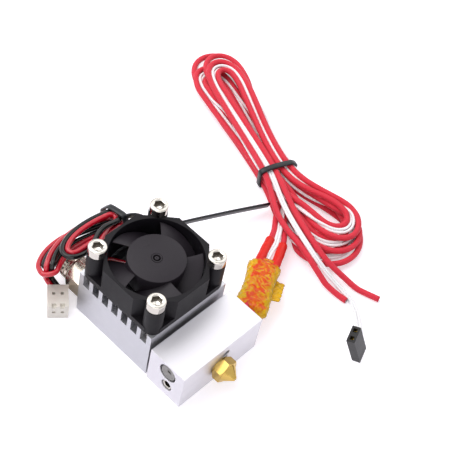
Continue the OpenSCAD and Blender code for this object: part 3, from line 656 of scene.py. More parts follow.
# Cut end of a wire: tinned strands in their glass filling.
WIRE_END = Finish("cut_strands", "#b9a3a6", 0.5, 0.3, dark="#6e5658", mottle=0.35, grain=0.2, relief=0.05)


def add_piece(piece: Piece, finish: Finish, slot: str, *nodes: str, body: str = "body") -> Piece:
    """Dresses a piece, gives it its place in the model and reports it.

    Args:
        piece: the piece.
        finish: the finish of all its faces.
        slot: not used.
        nodes: the frame's nodes that it stands for.
        body: the body that it rides on.

    Returns:
        The piece.
    """
    piece.data.materials.clear()
    piece.data.materials.append(finish.build())
    if nodes:
        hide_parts(*nodes)
    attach(piece, body)
    LOG.info("%s: %d faces of %s", piece.name, len(piece.data.polygons), finish.name)
    return piece


def dress_rings(piece: Piece, finish: Finish, first: int, last: int, cols: int) -> None:
    """Puts a second finish on the faces between two rings of a piece made of rings.

    Args:
        piece: the piece, already dressed.
        finish: the second finish.
        first: number of the first ring.
        last: number of the last ring.
        cols: number of points round a ring.
    """
    piece.data.materials.append(finish.build())
    slots = np.zeros(len(piece.data.polygons), np.int32)
    slots[first * cols : last * cols] = len(piece.data.materials) - 1
    piece.data.polygons.foreach_set("material_index", slots)


def dress_node(name: str, finish: Finish) -> None:
    """Puts a finish on one of the frame's own nodes.

    Args:
        name: the node.
        finish: its finish.
    """
    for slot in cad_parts[name].material_slots:
        slot.material = finish.build()
    LOG.info("%s: the frame's shape in %s", name, finish.name)


def box_mm(name: str) -> Array:
    """Lowest and highest corner of one of the frame's nodes, in millimetres."""
    return np.array([list(corner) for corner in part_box(name)]) / MM


# ---------------------------------------------------------------- camera, floor and light


def background_rays(tree: Tree) -> Socket:
    """1 for the rays that show the background: from the camera, off a gloss or through glass.

    Args:
        tree: the nodes of the world or of the floor.

    Returns:
        The socket with 0 or 1.
    """
    path = add_node(tree, "ShaderNodeLightPath")
    seen = path.outputs["Is Camera Ray"]
    for kind in ("Is Glossy Ray", "Is Transmission Ray"):
        either = add_node(tree, "ShaderNodeMath", {0: seen, 1: path.outputs[kind]}, operation="MAXIMUM")
        seen = either.outputs[0]
    return seen


@dataclass
class Studio:
    """Pale table, soft lamps and the camera."""

    eye: tuple[float, float, float] = (-169.8, -133.8, 310.7)
    right: tuple[float, float, float] = (0.68957, -0.70829, 0.15105)
    above: tuple[float, float, float] = (0.49489, 0.61313, 0.61576)
    lens: float = 98.55
    # strengths of the world's fill and of the table's own white, from 0 to 1
    fill: float = 0.36
    glow: float = 0.42

    def camera(self) -> None:
        """A camera on a 36 mm square sensor, turned by its own right and up directions."""
        data = bpy.data.cameras.new("camera")
        data.lens = self.lens
        data.sensor_width = 36.0
        data.clip_start = 0.01
        data.clip_end = 20.0
        item = bpy.data.objects.new("camera", data)
        x, y = Vector(self.right), Vector(self.above)
        turn = Matrix((x, y, x.cross(y))).transposed().to_4x4()
        item.matrix_world = Matrix.Translation(Vector(self.eye) * MM) @ turn
        bpy.context.scene.collection.objects.link(item)
        bpy.context.scene.camera = item

    def lamp(self, name: str, place: tuple, size: float, watts: float) -> None:
        """A white square area lamp aimed at the object's middle.

        Args:
            name: the lamp's name.
            place: its middle, in metres.
            size: its side, in metres.
            watts: its power.
        """
        data = bpy.data.lights.new(name, "AREA")
        data.size = size
        data.energy = watts
        item = bpy.data.objects.new(name, data)
        aim = Vector((0.02, 0.0, 0.0)) - Vector(place)
        turn = aim.to_track_quat("-Z", "Y").to_matrix().to_4x4()
        item.matrix_world = Matrix.Translation(place) @ turn
        bpy.context.scene.collection.objects.link(item)

    def world(self) -> None:
        """White where the camera, a gloss or glass looks past the floor; a mild fill elsewhere."""
        world = bpy.data.worlds.new("studio")
        bpy.context.scene.world = world
        tree = blank_tree(world)
        seen = background_rays(tree)
        fill = add_node(tree, "ShaderNodeBackground", {"Color": linear("#f4f4ff"), "Strength": self.fill})
        white = add_node(tree, "ShaderNodeBackground", {"Color": linear("#ffffff"), "Strength": 1.0})
        mixed = add_node(
            tree,
            "ShaderNodeMixShader",
            {"Fac": seen, 1: fill.outputs["Background"], 2: white.outputs["Background"]},
        )
        add_node(tree, "ShaderNodeOutputWorld", {"Surface": mixed.outputs["Shader"]})

    def floor(self) -> None:
        """A pale table top under everything; it is part of the stage."""
        half, z = 1500.0, -0.02
        corners = [(-half, -half, z), (half, -half, z), (half, half, z), (-half, half, z)]
        piece = solid("floor", np.array(corners), [[0, 1, 2, 3]], smooth=False)
        if piece.data.polygons[0].normal.z < 0:
            piece.data.flip_normals()
        material = bpy.data.materials.new("white_card")
        tree = blank_tree(material)
        card = add_node(tree, "ShaderNodeBsdfDiffuse", {"Color": linear("#f4f2f7")})
        lift = add_node(
            tree, "ShaderNodeMath", {0: background_rays(tree), 1: self.glow}, operation="MULTIPLY"
        )
        light = {"Color": linear("#fffdff"), "Strength": lift.outputs[0]}
        glow = add_node(tree, "ShaderNodeEmission", light)
        both = add_node(tree, "ShaderNodeAddShader", {0: card.outputs["BSDF"], 1: glow.outputs["Emission"]})
        add_node(tree, "ShaderNodeOutputMaterial", {"Surface": both.outputs["Shader"]})
        piece.data.materials.append(material)

    def build(self) -> None:
        """Makes the camera, the world, the floor and the lamps."""
        bpy.context.scene.view_settings.view_transform = "Standard"
        self.camera()
        self.world()
        self.floor()
        self.lamp("key", (-0.15, 0.45, 0.7), 0.9, 6.5)
        self.lamp("front", (-0.55, -0.45, 0.4), 0.8, 2.0)
        self.lamp("far", (0.6, 0.1, 0.5), 0.8, 1.8)


# ---------------------------------------------------------------- wires


@dataclass
class Strand:
    """One wire as a chain of beads.

    Its guide is the line that it is drawn to, hold says how firmly, bead by bead, and bend is the
    least radius that its middle line may turn in.
    """

    name: str
    radius: float
    guide: Array
    hold: Array
    bend: float
    beads: Array = field(init=False)

    def __post_init__(self) -> None:
        """The beads start on the guide."""
        self.beads = self.guide.copy()


@dataclass
class Tangle:
    """Several wires settled together so that none lies in another or below the table.

    spacing is the distance from bead to bead. reach is how far contacts are looked for, and search_every
    the number of rounds that one search serves. smooth, stretch and push are the shares of a sharp
    bend, a wrong spacing and an overlap that one round mends.
    """

    strands: list[Strand]
    spacing: float
    rounds: int = 260
    reach: float = 3.4
    search_every: int = 8
    smooth: float = 0.25
    stretch: float = 0.4
    push: float = 0.42

    def neighbours(self, place: Array, radius: Array, wire: Array) -> tuple:
        """Pairs of beads that are near each other and aren't next to each other on one wire.

        Args:
            place: (n, 3) beads.
            radius: (n,) radii.
            wire: (n,) number of the wire that each bead is on.

        Returns:
            Two index arrays, first < second.
        """
        order = np.argsort(place[:, 0], kind="stable")
        x = place[order, 0]
        last = np.searchsorted(x, x + self.reach, side="right")
        first, second = [], []
        for start in range(0, len(order), 256):
            stop = min(start + 256, len(order))
            end = last[start:stop].max()
            a = np.arange(start, stop)[:, None]
            b = np.arange(start, end)[None, :]
            gap = place[order[start:stop], None] - place[None, order[start:end]]
            near = (b > a) & ((gap**2).sum(axis=2) < self.reach**2)
            i, j = np.nonzero(near)
            first.append(order[i + start])
            second.append(order[j + start])
        first, second = np.concatenate(first), np.concatenate(second)
        apart = np.abs(first - second) * self.spacing
        keep = (wire[first] != wire[second]) | (apart > 4 * radius[first] + 2)
        return first[keep], second[keep]

    def straighten(self, place: Array, inner: Array, allowed: Array) -> None:
        """Opens the bends that are too tight.

        The second difference of evenly spaced beads is the square of their spacing over the radius
        of the bend, so a bend is too tight where it is longer than allowed.

        Args:
            place: (n, 3) beads, which it moves.
            inner: numbers of the beads that have one on both sides.
            allowed: greatest second difference of each.
        """
        turned_by = place[inner - 1] + place[inner + 1] - 2 * place[inner]
        size = np.linalg.norm(turned_by, axis=1)
        share = self.smooth * np.maximum(size - allowed, 0.0) / np.maximum(size, 1e-9)
        shift = share[:, None] * turned_by
        np.add.at(place, inner, shift)
        np.add.at(place, inner - 1, -0.5 * shift)
        np.add.at(place, inner + 1, -0.5 * shift)

    def settle(self) -> None:
        """Runs the rounds: hold to the guide, keep the spacing, keep the wires apart, stay above z 0."""
        place = np.vstack([s.beads for s in self.strands])
        guide = place.copy()
        radius = np.concatenate([np.full(len(s.beads), s.radius) for s in self.strands])
        wire = np.concatenate([np.full(len(s.beads), k) for k, s in enumerate(self.strands)])
        hold = np.concatenate([s.hold for s in self.strands])[:, None]
        bend = np.concatenate([np.full(len(s.beads), s.bend) for s in self.strands])
        firm = hold[:, 0] > 0.97
        joined = np.nonzero(wire[1:] == wire[:-1])[0]
        rest = np.linalg.norm(place[joined + 1] - place[joined], axis=1)
        inner = np.nonzero((wire[2:] == wire[:-2]))[0] + 1
        for turn in range(self.rounds):
            if turn % self.search_every == 0:
                first, second = self.neighbours(place, radius, wire)
                touch = radius[first] + radius[second]
            easing = max(0.0, 1.0 - 1.15 * turn / self.rounds)
            place += (guide - place) * hold * easing
            place[inner] += self.smooth * (0.5 * (place[inner - 1] + place[inner + 1]) - place[inner])
            for _ in range(3):
                self.straighten(place, inner, self.spacing**2 / bend[inner])
            step = place[joined + 1] - place[joined]
            length = np.linalg.norm(step, axis=1)
            pull = (self.stretch * (length - rest) / np.maximum(length, 1e-6))[:, None] * step
            np.add.at(place, joined, pull)
            np.add.at(place, joined + 1, -pull)
            gap = place[first] - place[second]
            length = np.linalg.norm(gap, axis=1)
            deep = np.maximum(touch - length, 0.0)
            push = (self.push * deep / np.maximum(length, 1e-6))[:, None] * gap
            np.add.at(place, first, push)
            np.add.at(place, second, -push)
            place[:, 2] = np.maximum(place[:, 2], radius)
            place[firm] = guide[firm]
        start = 0
        for s in self.strands:
            s.beads = place[start : start + len(s.beads)]
            start += len(s.beads)
        LOG.info("wires settled: deepest overlap %.2f mm", float(deep.max()) if len(deep) else 0.0)


def arc(
    centre: tuple, radius: float, start: float, stop: float, height: float, count: int
) -> Array:
    """Points on a level circle from one direction to another.

    Args:
        centre: x and y of the circle's middle.
        radius: its radius.
        start: first direction, in degrees.
        stop: last direction, in degrees.
        height: its height.
        count: number of points.

    Returns:
        (count, 3) points.
    """
    turn = np.radians(np.linspace(start, stop, count))
    x, y = centre[0] + radius * np.cos(turn), centre[1] + radius * np.sin(turn)
    return np.stack([x, y, np.full(count, height)], axis=1)


def ease(start: Array, stop: Array, count: int) -> Array:
    """Points strictly between two others, evenly spaced on a straight line."""
    share = np.linspace(0, 1, count + 2)[1:-1, None]
    return start + share * (stop - start)


def beside(route: tuple | Array, shift: float) -> Array:
    """A route moved sideways and level; its pair lies on the other side.

    Args:
        route: points of the route.
        shift: how far it moves.

    Returns:
        The moved points.
    """
    p = np.asarray(route, float)
    side = unit(np.cross(unit(np.gradient(p, axis=0)), [0.0, 0.0, 1.0]))
    return p + shift * side


def held(points: Array, marks: list[tuple[float, float]]) -> Array:
    """How firmly each bead is held, from (share of the length, hold) marks."""
    share = np.linspace(0, 1, len(points))
    return np.interp(share, [m[0] for m in marks], [m[1] for m in marks])


def cinched(
    name: str, strands: list[Strand], at: Array, axes: tuple, size: tuple, floor: float
) -> Piece:
    """Flat band drawn tight round the wires that pass a place.

    Its middle line is the convex outline of the wires' sections in the plane across them, half the
    band's thickness away.

    Args:
        name: the object's name.
        strands: the settled wires.
        at: the band's place, in millimetres.
        axes: unit vectors along the wires, across them and up.
        size: width and thickness of the band.
        floor: least height along the third axis.

    Returns:
        The band.
    """
    along, left, up = (np.array(axis, float) for axis in axes)
    wide, thick = size
    t = np.linspace(0, 2 * math.pi, 96, endpoint=False)
    toward = np.stack([np.cos(t), np.sin(t)], axis=1)
    reach = np.full(len(t), -np.inf)
    for s in strands:
        away = s.beads - at
        near = (np.abs(away @ along) < wide) & (np.abs(away @ left) < 12)
        flat = np.stack([away[near] @ left, away[near] @ up], axis=1)
        if len(flat):
            reach = np.maximum(reach, (flat @ toward.T).max(axis=0) + s.radius + thick / 2 + 0.03)
    # where the tangent lines of neighbouring directions cross
    beyond, turn = np.roll(reach, -1), t[1]
    along_edge = (beyond - reach * math.cos(turn)) / math.sin(turn)
    flat = reach[:, None] * toward + along_edge[:, None] * np.stack([-toward[:, 1], toward[:, 0]], axis=1)
    flat = resample(np.vstack([flat, flat[:1]]), 0.25)[:-1]
    line = at + flat[:, :1] * left + np.maximum(flat[:, 1:], floor + thick / 2) * up
    heading = unit(np.roll(line, -1, axis=0) - np.roll(line, 1, axis=0))
    outward = np.cross(heading, along)
    section = [(-0.5, -0.3), (-0.5, 0.3), (-0.42, 0.5), (0.42, 0.5)]
    section += [(-p, -q) for p, q in section]
    grid = np.stack([line + p * wide * along + q * thick * outward for p, q in section], axis=1)
    LOG.info("%s holds %.1f x %.1f mm", name, *(np.ptp(flat, axis=0) - thick))
    return skin(name, grid, closed=True)


class FarEnd(Enum):
    """What ends a wire."""

    BARE = "bare"
    CONNECTOR = "connector"
    PLUG = "plug"


def lay_cord(
    strand: Strand, spacing: float, sides: int, finish: Finish, slot: str, nodes: tuple
) -> Piece:
    """Args:
        strand: the wire.
        spacing: distance from ring to ring of the tube.
        sides: number of points round a ring.
        finish: its finish.
        slot: handed on to add_piece, which does not use it.
        nodes: the frame's nodes that it stands for.

    Returns:
        The tube.
    """
    beads = strand.beads
    path = flowing(beads[::2] if len(beads) % 2 else np.vstack([beads[::2], beads[-1:]]), spacing)
    piece = add_piece(tube(strand.name, path, strand.radius, sides), finish, slot, *nodes)
    return piece


@dataclass
class HeaterWiring:
    """Two red heater wires and two white thermistor wires, wound into one hank with a tie."""

    red_r: float = 0.97
    white_r: float = 0.48
    turns: int = 3
    tie_at: tuple[float, float] = (69.7, 13.0)
    tie_turn: float = 71.0
    sleeve_r: float = 1.6
    red_left_in: tuple = ((16.6, -22.4, 11), (22, -20, 10.2), (28, -15.6, 8.6), (33, -12.8, 7.4))
    red_right_in: tuple = ((16.6, -24.2, 10.4), (22, -23.6, 9.4), (29, -20.8, 7.8), (35, -17.4, 7))
    red_left_run: tuple = ((47, -6.6, 4.6), (51, -4.6, 3.8), (55, -1.8, 3.4), (59, 2, 3.2))
    red_right_run: tuple = ((48.6, -10.6, 4.2), (52, -8.2, 3.6), (55.5, -5, 3.2), (60, 1, 2.4))
    white_in: tuple = ((16.6, -26.8, 4.5), (20, -26, 5), (26, -22.4, 6), (33, -16.2, 6.8), (40, -11.4, 6.4))
    white_run: tuple = ((44.6, -10.2, 5.6), (49, -7.6, 4.6), (53, -5.2, 4), (56.5, -2.8, 3.6))
    red_left_tail: tuple = (
        (63.4, 10, 6.6), (59.4, 5, 6.4), (55.4, -1, 5.6), (53.2, -5.6, 5.2), (52.6, -10.4, 5.8),
        (51.8, -15.6, 6.2), (50.2, -21, 5.6), (49.4, -26.4, 3), (49.8, -31.5, 1.2), (50.4, -37, 1.0),
    )
    red_right_tail: tuple = (
        (66.4, 8.6, 7), (63.4, 3.2, 7.2), (59.8, -4.2, 7.2), (57.2, -10.6, 7.3), (54.8, -18.4, 7),
        (53.6, -23.8, 5.4), (55.6, -29, 2.8), (56.4, -35, 1.1), (57.6, -39.4, 1.0), (59, -43.4, 1.0),
    )
    white_tail: tuple = (
        (65, 9.2, 7.2), (61.6, 4.6, 7.2), (57.8, -2.8, 6.8), (55.2, -9.4, 7), (53.4, -14.4, 7.2),
        (52, -19, 6.8), (51.8, -24.4, 4.4), (52.4, -29.4, 1.8), (52.8, -34.5, 0.6), (52, -39, 0.6),
        (49, -43.2, 0.6), (45.4, -46.8, 0.6), (42, -50, 0.6), (39.8, -52, 0.8), (38.6, -53.2, 1.8),
        (37.4, -53, 3.4),
    )
    upper: tuple = ((89.2, 58.7, 9.3), (83.8, 57.2, 6.0), (89.6, 57.4, 6.8), (86.8, 54.6, 6.0))
    lower: tuple = ((63.8, -15.8, 12.8), (66.2, -16.4, 10.2), (68.6, -17.0, 7.6))
    layer: float = 1.72
    first_layer: float = 1.35
    # how far inside wire 0 each wire lies in a fold
    inset: tuple = (0.0, 1.6, 2.6, 3.4)
    # first and last direction of the upper and the lower folds, in degrees
    upper_arc: tuple = (-22, 160)
    lower_arc: tuple = (170, 352)
    # the wires' places from left to right in the neck, turn by turn, on their way up and down
    rising: tuple = ((0, 1, 2, 3), (3, 1, 0, 2), (1, 0, 3, 2), (3, 1, 0, 2))
    falling: tuple = ((3, 1, 2, 0), (0, 2, 3, 1), (2, 3, 1, 0), (0, 1, 2, 3))
    # least radius of a bend over the wire's own radius, and distance from bead to bead
    bend: float = 4.4
    spacing: float = 1.1

    def neck(self, across: float, along: float, height: float) -> Array:
        """A point in the neck.

        Args:
            across: distance to the left of the way up.
            along: distance towards the upper folds.
            height: height.

        Returns:
            The point.
        """
        turn = math.radians(self.tie_turn)
        x = self.tie_at[0] + along * math.cos(turn) - across * math.sin(turn)
        y = self.tie_at[1] + along * math.sin(turn) + across * math.cos(turn)
        return np.array([x, y, height])

    def slots(self, up: bool, turn: int, wire: int) -> float:
        """How far to the left a wire lies in the neck on one of its passes.

        Args:
            up: True on the way up.
            turn: number of the turn.
            wire: number of the wire.

        Returns:
            The distance.
        """
        order = (self.rising if up else self.falling)[turn]
        widths = [self.red_r * 2 if w in (0, 3) else self.white_r * 2 for w in order]
        place = order.index(wire)
        from_left = sum(widths[:place]) + widths[place] / 2
        return (0.0 if up else sum(widths)) - from_left

    def winding(self, wire: int) -> Array:
        """Guide of one wire through all its turns.

        Each turn goes up the right side of the neck, round the far lobe, down the left side and round
        the near lobe; every turn lies one layer above the last. Wire 0 is outermost in a lobe and
        wire 3 innermost.

        Args:
            wire: 0 and 3 are the red wires, 1 and 2 the white ones.

        Returns:
            (n, 3) points from the first pass of the neck to the last.
        """
        inner = self.inset[wire]
        points = []
        for turn in range(self.turns + 1):
            z = self.first_layer + self.layer * turn
            side = self.slots(True, turn, wire)
            rise = [self.neck(side, -7, z), self.neck(side, 0, z), self.neck(side, 7, z)]
            x, y, r = self.upper[turn]
            back = math.radians(self.tie_turn - 2)
            centre = (x - inner * 0.8 * math.cos(back), y - inner * 0.8 * math.sin(back))
            fold = arc(centre, r - 0.45 * inner, *self.upper_arc, z, 7)
            side = self.slots(False, turn, wire)
            fall = [self.neck(side, step, z + lift) for step, lift in ((7, 0.4), (0, 0.4), (-7, 0.6))]
            points += [*rise, *ease(rise[-1], fold[0], 3), *fold, *ease(fold[-1], fall[0], 3), *fall]
            if turn < self.turns:
                x, y, r = self.lower[turn]
                centre = (x + 0.3 * inner, y + inner * 0.9)
                fold = arc(centre, r - 0.5 * inner, *self.lower_arc, z + 0.9, 9)
                start = self.neck(self.slots(True, turn + 1, wire), -7, z + self.layer)
                points += [*ease(fall[-1], fold[0], 1), *fold, *ease(fold[-1], start, 2)]
        return np.array(points)

    def strands(self) -> list[Strand]:
        """The four wires, each from where it leaves the block to its far end.

        Returns:
            The wires, the outermost first.
        """
        lead_ins = (
            self.red_left_in + self.red_left_run, self.white_in + self.white_run,
            self.white_in + self.white_run, self.red_right_in + self.red_right_run,
        )
        tails = (self.red_left_tail, self.white_tail, self.white_tail, self.red_right_tail)
        names = ("heater_wire_left", "thermistor_wire_left", "thermistor_wire_right", "heater_wire_right")
        made = []
        for wire in range(4):
            radius = self.red_r if wire in (0, 3) else self.white_r
            shift = {1: 1.0, 2: -1.0}.get(wire, 0.0) * (self.white_r + 0.01)
            lead = flowing(beside(lead_ins[wire], shift), self.spacing)
            tail = flowing(beside(tails[wire], shift), self.spacing)
            middle = self.winding(wire)
            guide = flowing(np.vstack([lead[::4], middle[:-1], tail[::4], tail[-1:]]), self.spacing)
            total = len(guide)
            start, stop = len(lead) / total, 1 - len(tail) / total
            marks = [
                (0, 1), (start * 0.8, 1), (start, 0.2), (start + 0.03, 0.03), (stop - 0.02, 0.03),
                (stop + 0.02, 0.12), (stop + 0.05, 0.2), (0.985, 1), (1, 1),
            ]
            made.append(Strand(names[wire], radius, guide, held(guide, marks), self.bend * radius))
        return made

    def tie(self, strands: list[Strand]) -> Piece:
        """Flat band round the neck.

        Args:
            strands: the settled wires.

        Returns:
            The band.
        """
        turn = math.radians(self.tie_turn)
        axes = ((math.cos(turn), math.sin(turn), 0), (-math.sin(turn), math.cos(turn), 0), (0, 0, 1))
        band = cinched("hank_tie_band", strands, self.neck(0.0, -2.0, 0.0), axes, (1.9, 0.7), 0.0)
        return add_piece(band, TIE_NYLON, "tie_black", "hank_tie")

    def sleeve(self, name: str, ends: tuple) -> Piece:
        """A heat-shrunk sleeve: a tube that waists in between its ends and has rolled mouths.

        Args:
            name: the node that it stands for.
            ends: points of its middle line.

        Returns:
            The sleeve.
        """
        path = flowing(ends, 0.5)
        share = np.linspace(0, 1, len(path))
        radius = self.sleeve_r - 0.08 * np.sin(share * math.pi * 5) ** 2
        radius[:2] -= (0.25, 0.08)
        radius[-2:] -= (0.08, 0.25)
        return add_piece(tube(name + "_skin", path, radius, 20), SLEEVE, "sleeve_red", name)

    def build(self) -> list[Piece]:
        """Makes the wires with their tie and sleeves.

        Returns:
            The pieces.
        """
        strands = self.strands()
        Tangle(strands, self.spacing).settle()
        pieces = [self.tie(strands)]
        replaced = {
            "heater_wire_left": ("cartridge_leads", "heater_lead_run", "wire_hank", "heater_tail_left"),
            "heater_wire_right": ("heater_tail_right",),
            "thermistor_wire_left": ("thermistor_leads", "thermistor_tail"),
            "thermistor_wire_right": (),
        }
        for s in strands:
            nodes = replaced[s.name]
            if s.radius == self.red_r:
                piece = lay_cord(s, 0.8, 14, RED_BRAID, "braid_red", nodes)
                # the far cap shows the cut strands
                piece.data.materials.append(WIRE_END.build())
                piece.data.polygons[len(piece.data.polygons) - 1].material_index = 1
            else:
                piece = lay_cord(s, 0.8, 8, WHITE_BRAID, "braid_white", nodes)
            pieces.append(piece)
        left = ((24, -18.6, 9.6), (28, -15.6, 8.6), (33, -12.8, 7.4), (40, -9.6, 6.1), (47, -6.6, 4.6))
        right = ((26, -22.2, 8.6), (30, -20.2, 7.7), (35, -17.4, 7), (42, -14, 5.8), (48.6, -10.6, 4.2))
        pieces += [self.sleeve("heat_sleeve_left", left), self.sleeve("heat_sleeve_right", right)]
        return pieces


@dataclass
class Tape:
    """Crinkled pouch of film wrapped round the joints of the wires, with three loose flaps."""

    route: tuple = (
        (16.7, -23, 9), (18.4, -23, 9), (23, -21, 9), (28.4, -18, 8.4), (34, -14.8, 7.4),
        (38, -12.6, 6.6),
    )
    # rates round and along of the waves of the creases, and their phases
    waves: tuple = ((3.1, 1.7, 0.2), (-2.3, 4.1, 0.7), (5.7, -3.3, 0.4), (7.9, 6.1, 0.9))

    def crease(self, u: Array, v: Array) -> Array:
        """Creases as sums of triangle waves that cross at unlike angles.

        Args:
            u: first place on the film.
            v: second place on the film.

        Returns:
            Heights from -1 to 1.
        """
        total = np.zeros(np.broadcast_shapes(np.shape(u), np.shape(v)))
        for k, (a, b, shift) in enumerate(self.waves):
            phase = a * u + b * v + shift
            total += (np.abs(2 * (phase - np.floor(phase)) - 1) * 2 - 1) / (1 + 0.6 * k)
        return total / 2.4

    def pouch(self) -> Piece:
        """The wrapped body: an oval section carried along the route, creased all over.

        The section is a rounded rectangle: powers of the cosine and sine times half its width and
        height. It narrows at both mouths.

        Returns:
            The pouch.
        """
        path = flowing(self.route, 0.4)
        side, up = transported_frames(path)
        share = np.linspace(0, 1, len(path))[:, None]
        turn = np.linspace(0, 2 * math.pi, 72, endpoint=False)[None, :]
        c, s = np.cos(turn), np.sin(turn)
        wide = 5.0 + 0.35 * np.sin(share * 7 + 1)
        high = np.where(s > 0, 2.75, 2.65)
        x = wide * np.sign(c) * np.abs(c) ** 0.8
        z = high * np.sign(s) * np.abs(s) ** 0.85 + 0 * share
        fold = self.crease(share * 2.6, turn / (2 * math.pi) * 3.0)
        close = np.clip(np.minimum(share, 1 - share) * 9, 0.55, 1)
        x = (x + 0.16 * fold * c) * close
        z = (z + 0.42 * fold) * close
        grid = path[:, None] + x[..., None] * side[:, None] + z[..., None] * up[:, None]
        grid[..., 0] = np.maximum(grid[..., 0], 16.62)
        return add_piece(skin("tape_pouch", grid), TAPE, "film_amber", "insulating_tape")

    def flap(self, name: str, centre: tuple, along: tuple, over: tuple, size: tuple) -> Piece:
        """A loose corner of film: a bent, creased rectangle with a real thickness.

        Args:
            name: the piece's name.
            centre: its middle.
            along: direction of its length.
            over: direction of its width.
            size: length and width.

        Returns:
            The flap.
        """
        a, b = unit(np.array(along, float)), unit(np.array(over, float))
        n = np.cross(a, b)
        u, v = np.meshgrid(np.linspace(-1, 1, 22), np.linspace(-1, 1, 22), indexing="ij")
        lift = 0.5 * u**2 - 0.3 * v + 0.35 * self.crease(u * 0.7 + centre[0], v * 0.7)
        x = u * size[0] * (1 - 0.18 * v) / 2
        y = v * size[1] / 2 + 0.3 * self.crease(u + 0.3, v * 0.2)
        top = np.array(centre) + x[..., None] * a + y[..., None] * b + lift[..., None] * n
        faces = grid_faces(22, 22, False, False).tolist()
        piece = solid(name, top.reshape(-1, 3), faces)
        thick = piece.modifiers.new("film", "SOLIDIFY")
        thick.thickness = 0.06 * MM
        return add_piece(piece, TAPE, "film_amber")

    def build(self) -> list[Piece]:
        """Makes the pouch and its flaps.

        Returns:
            The pieces.
        """
        flaps = (
            ("right", (31.6, -20.8, 6.6), (0.9, 0.5, -0.2), (0.5, -0.8, -0.1), (10, 7)),
            ("left", (25.2, -17.6, 7.6), (0.85, 0.5, 0), (-0.5, 0.85, -0.3), (6, 3.4)),
            ("near", (20.6, -25.4, 7.4), (0.9, 0.35, 0), (0.3, -0.9, -0.4), (5, 3)),
        )
        return [self.pouch()] + [self.flap("tape_flap_" + name, *shape) for name, *shape in flaps]


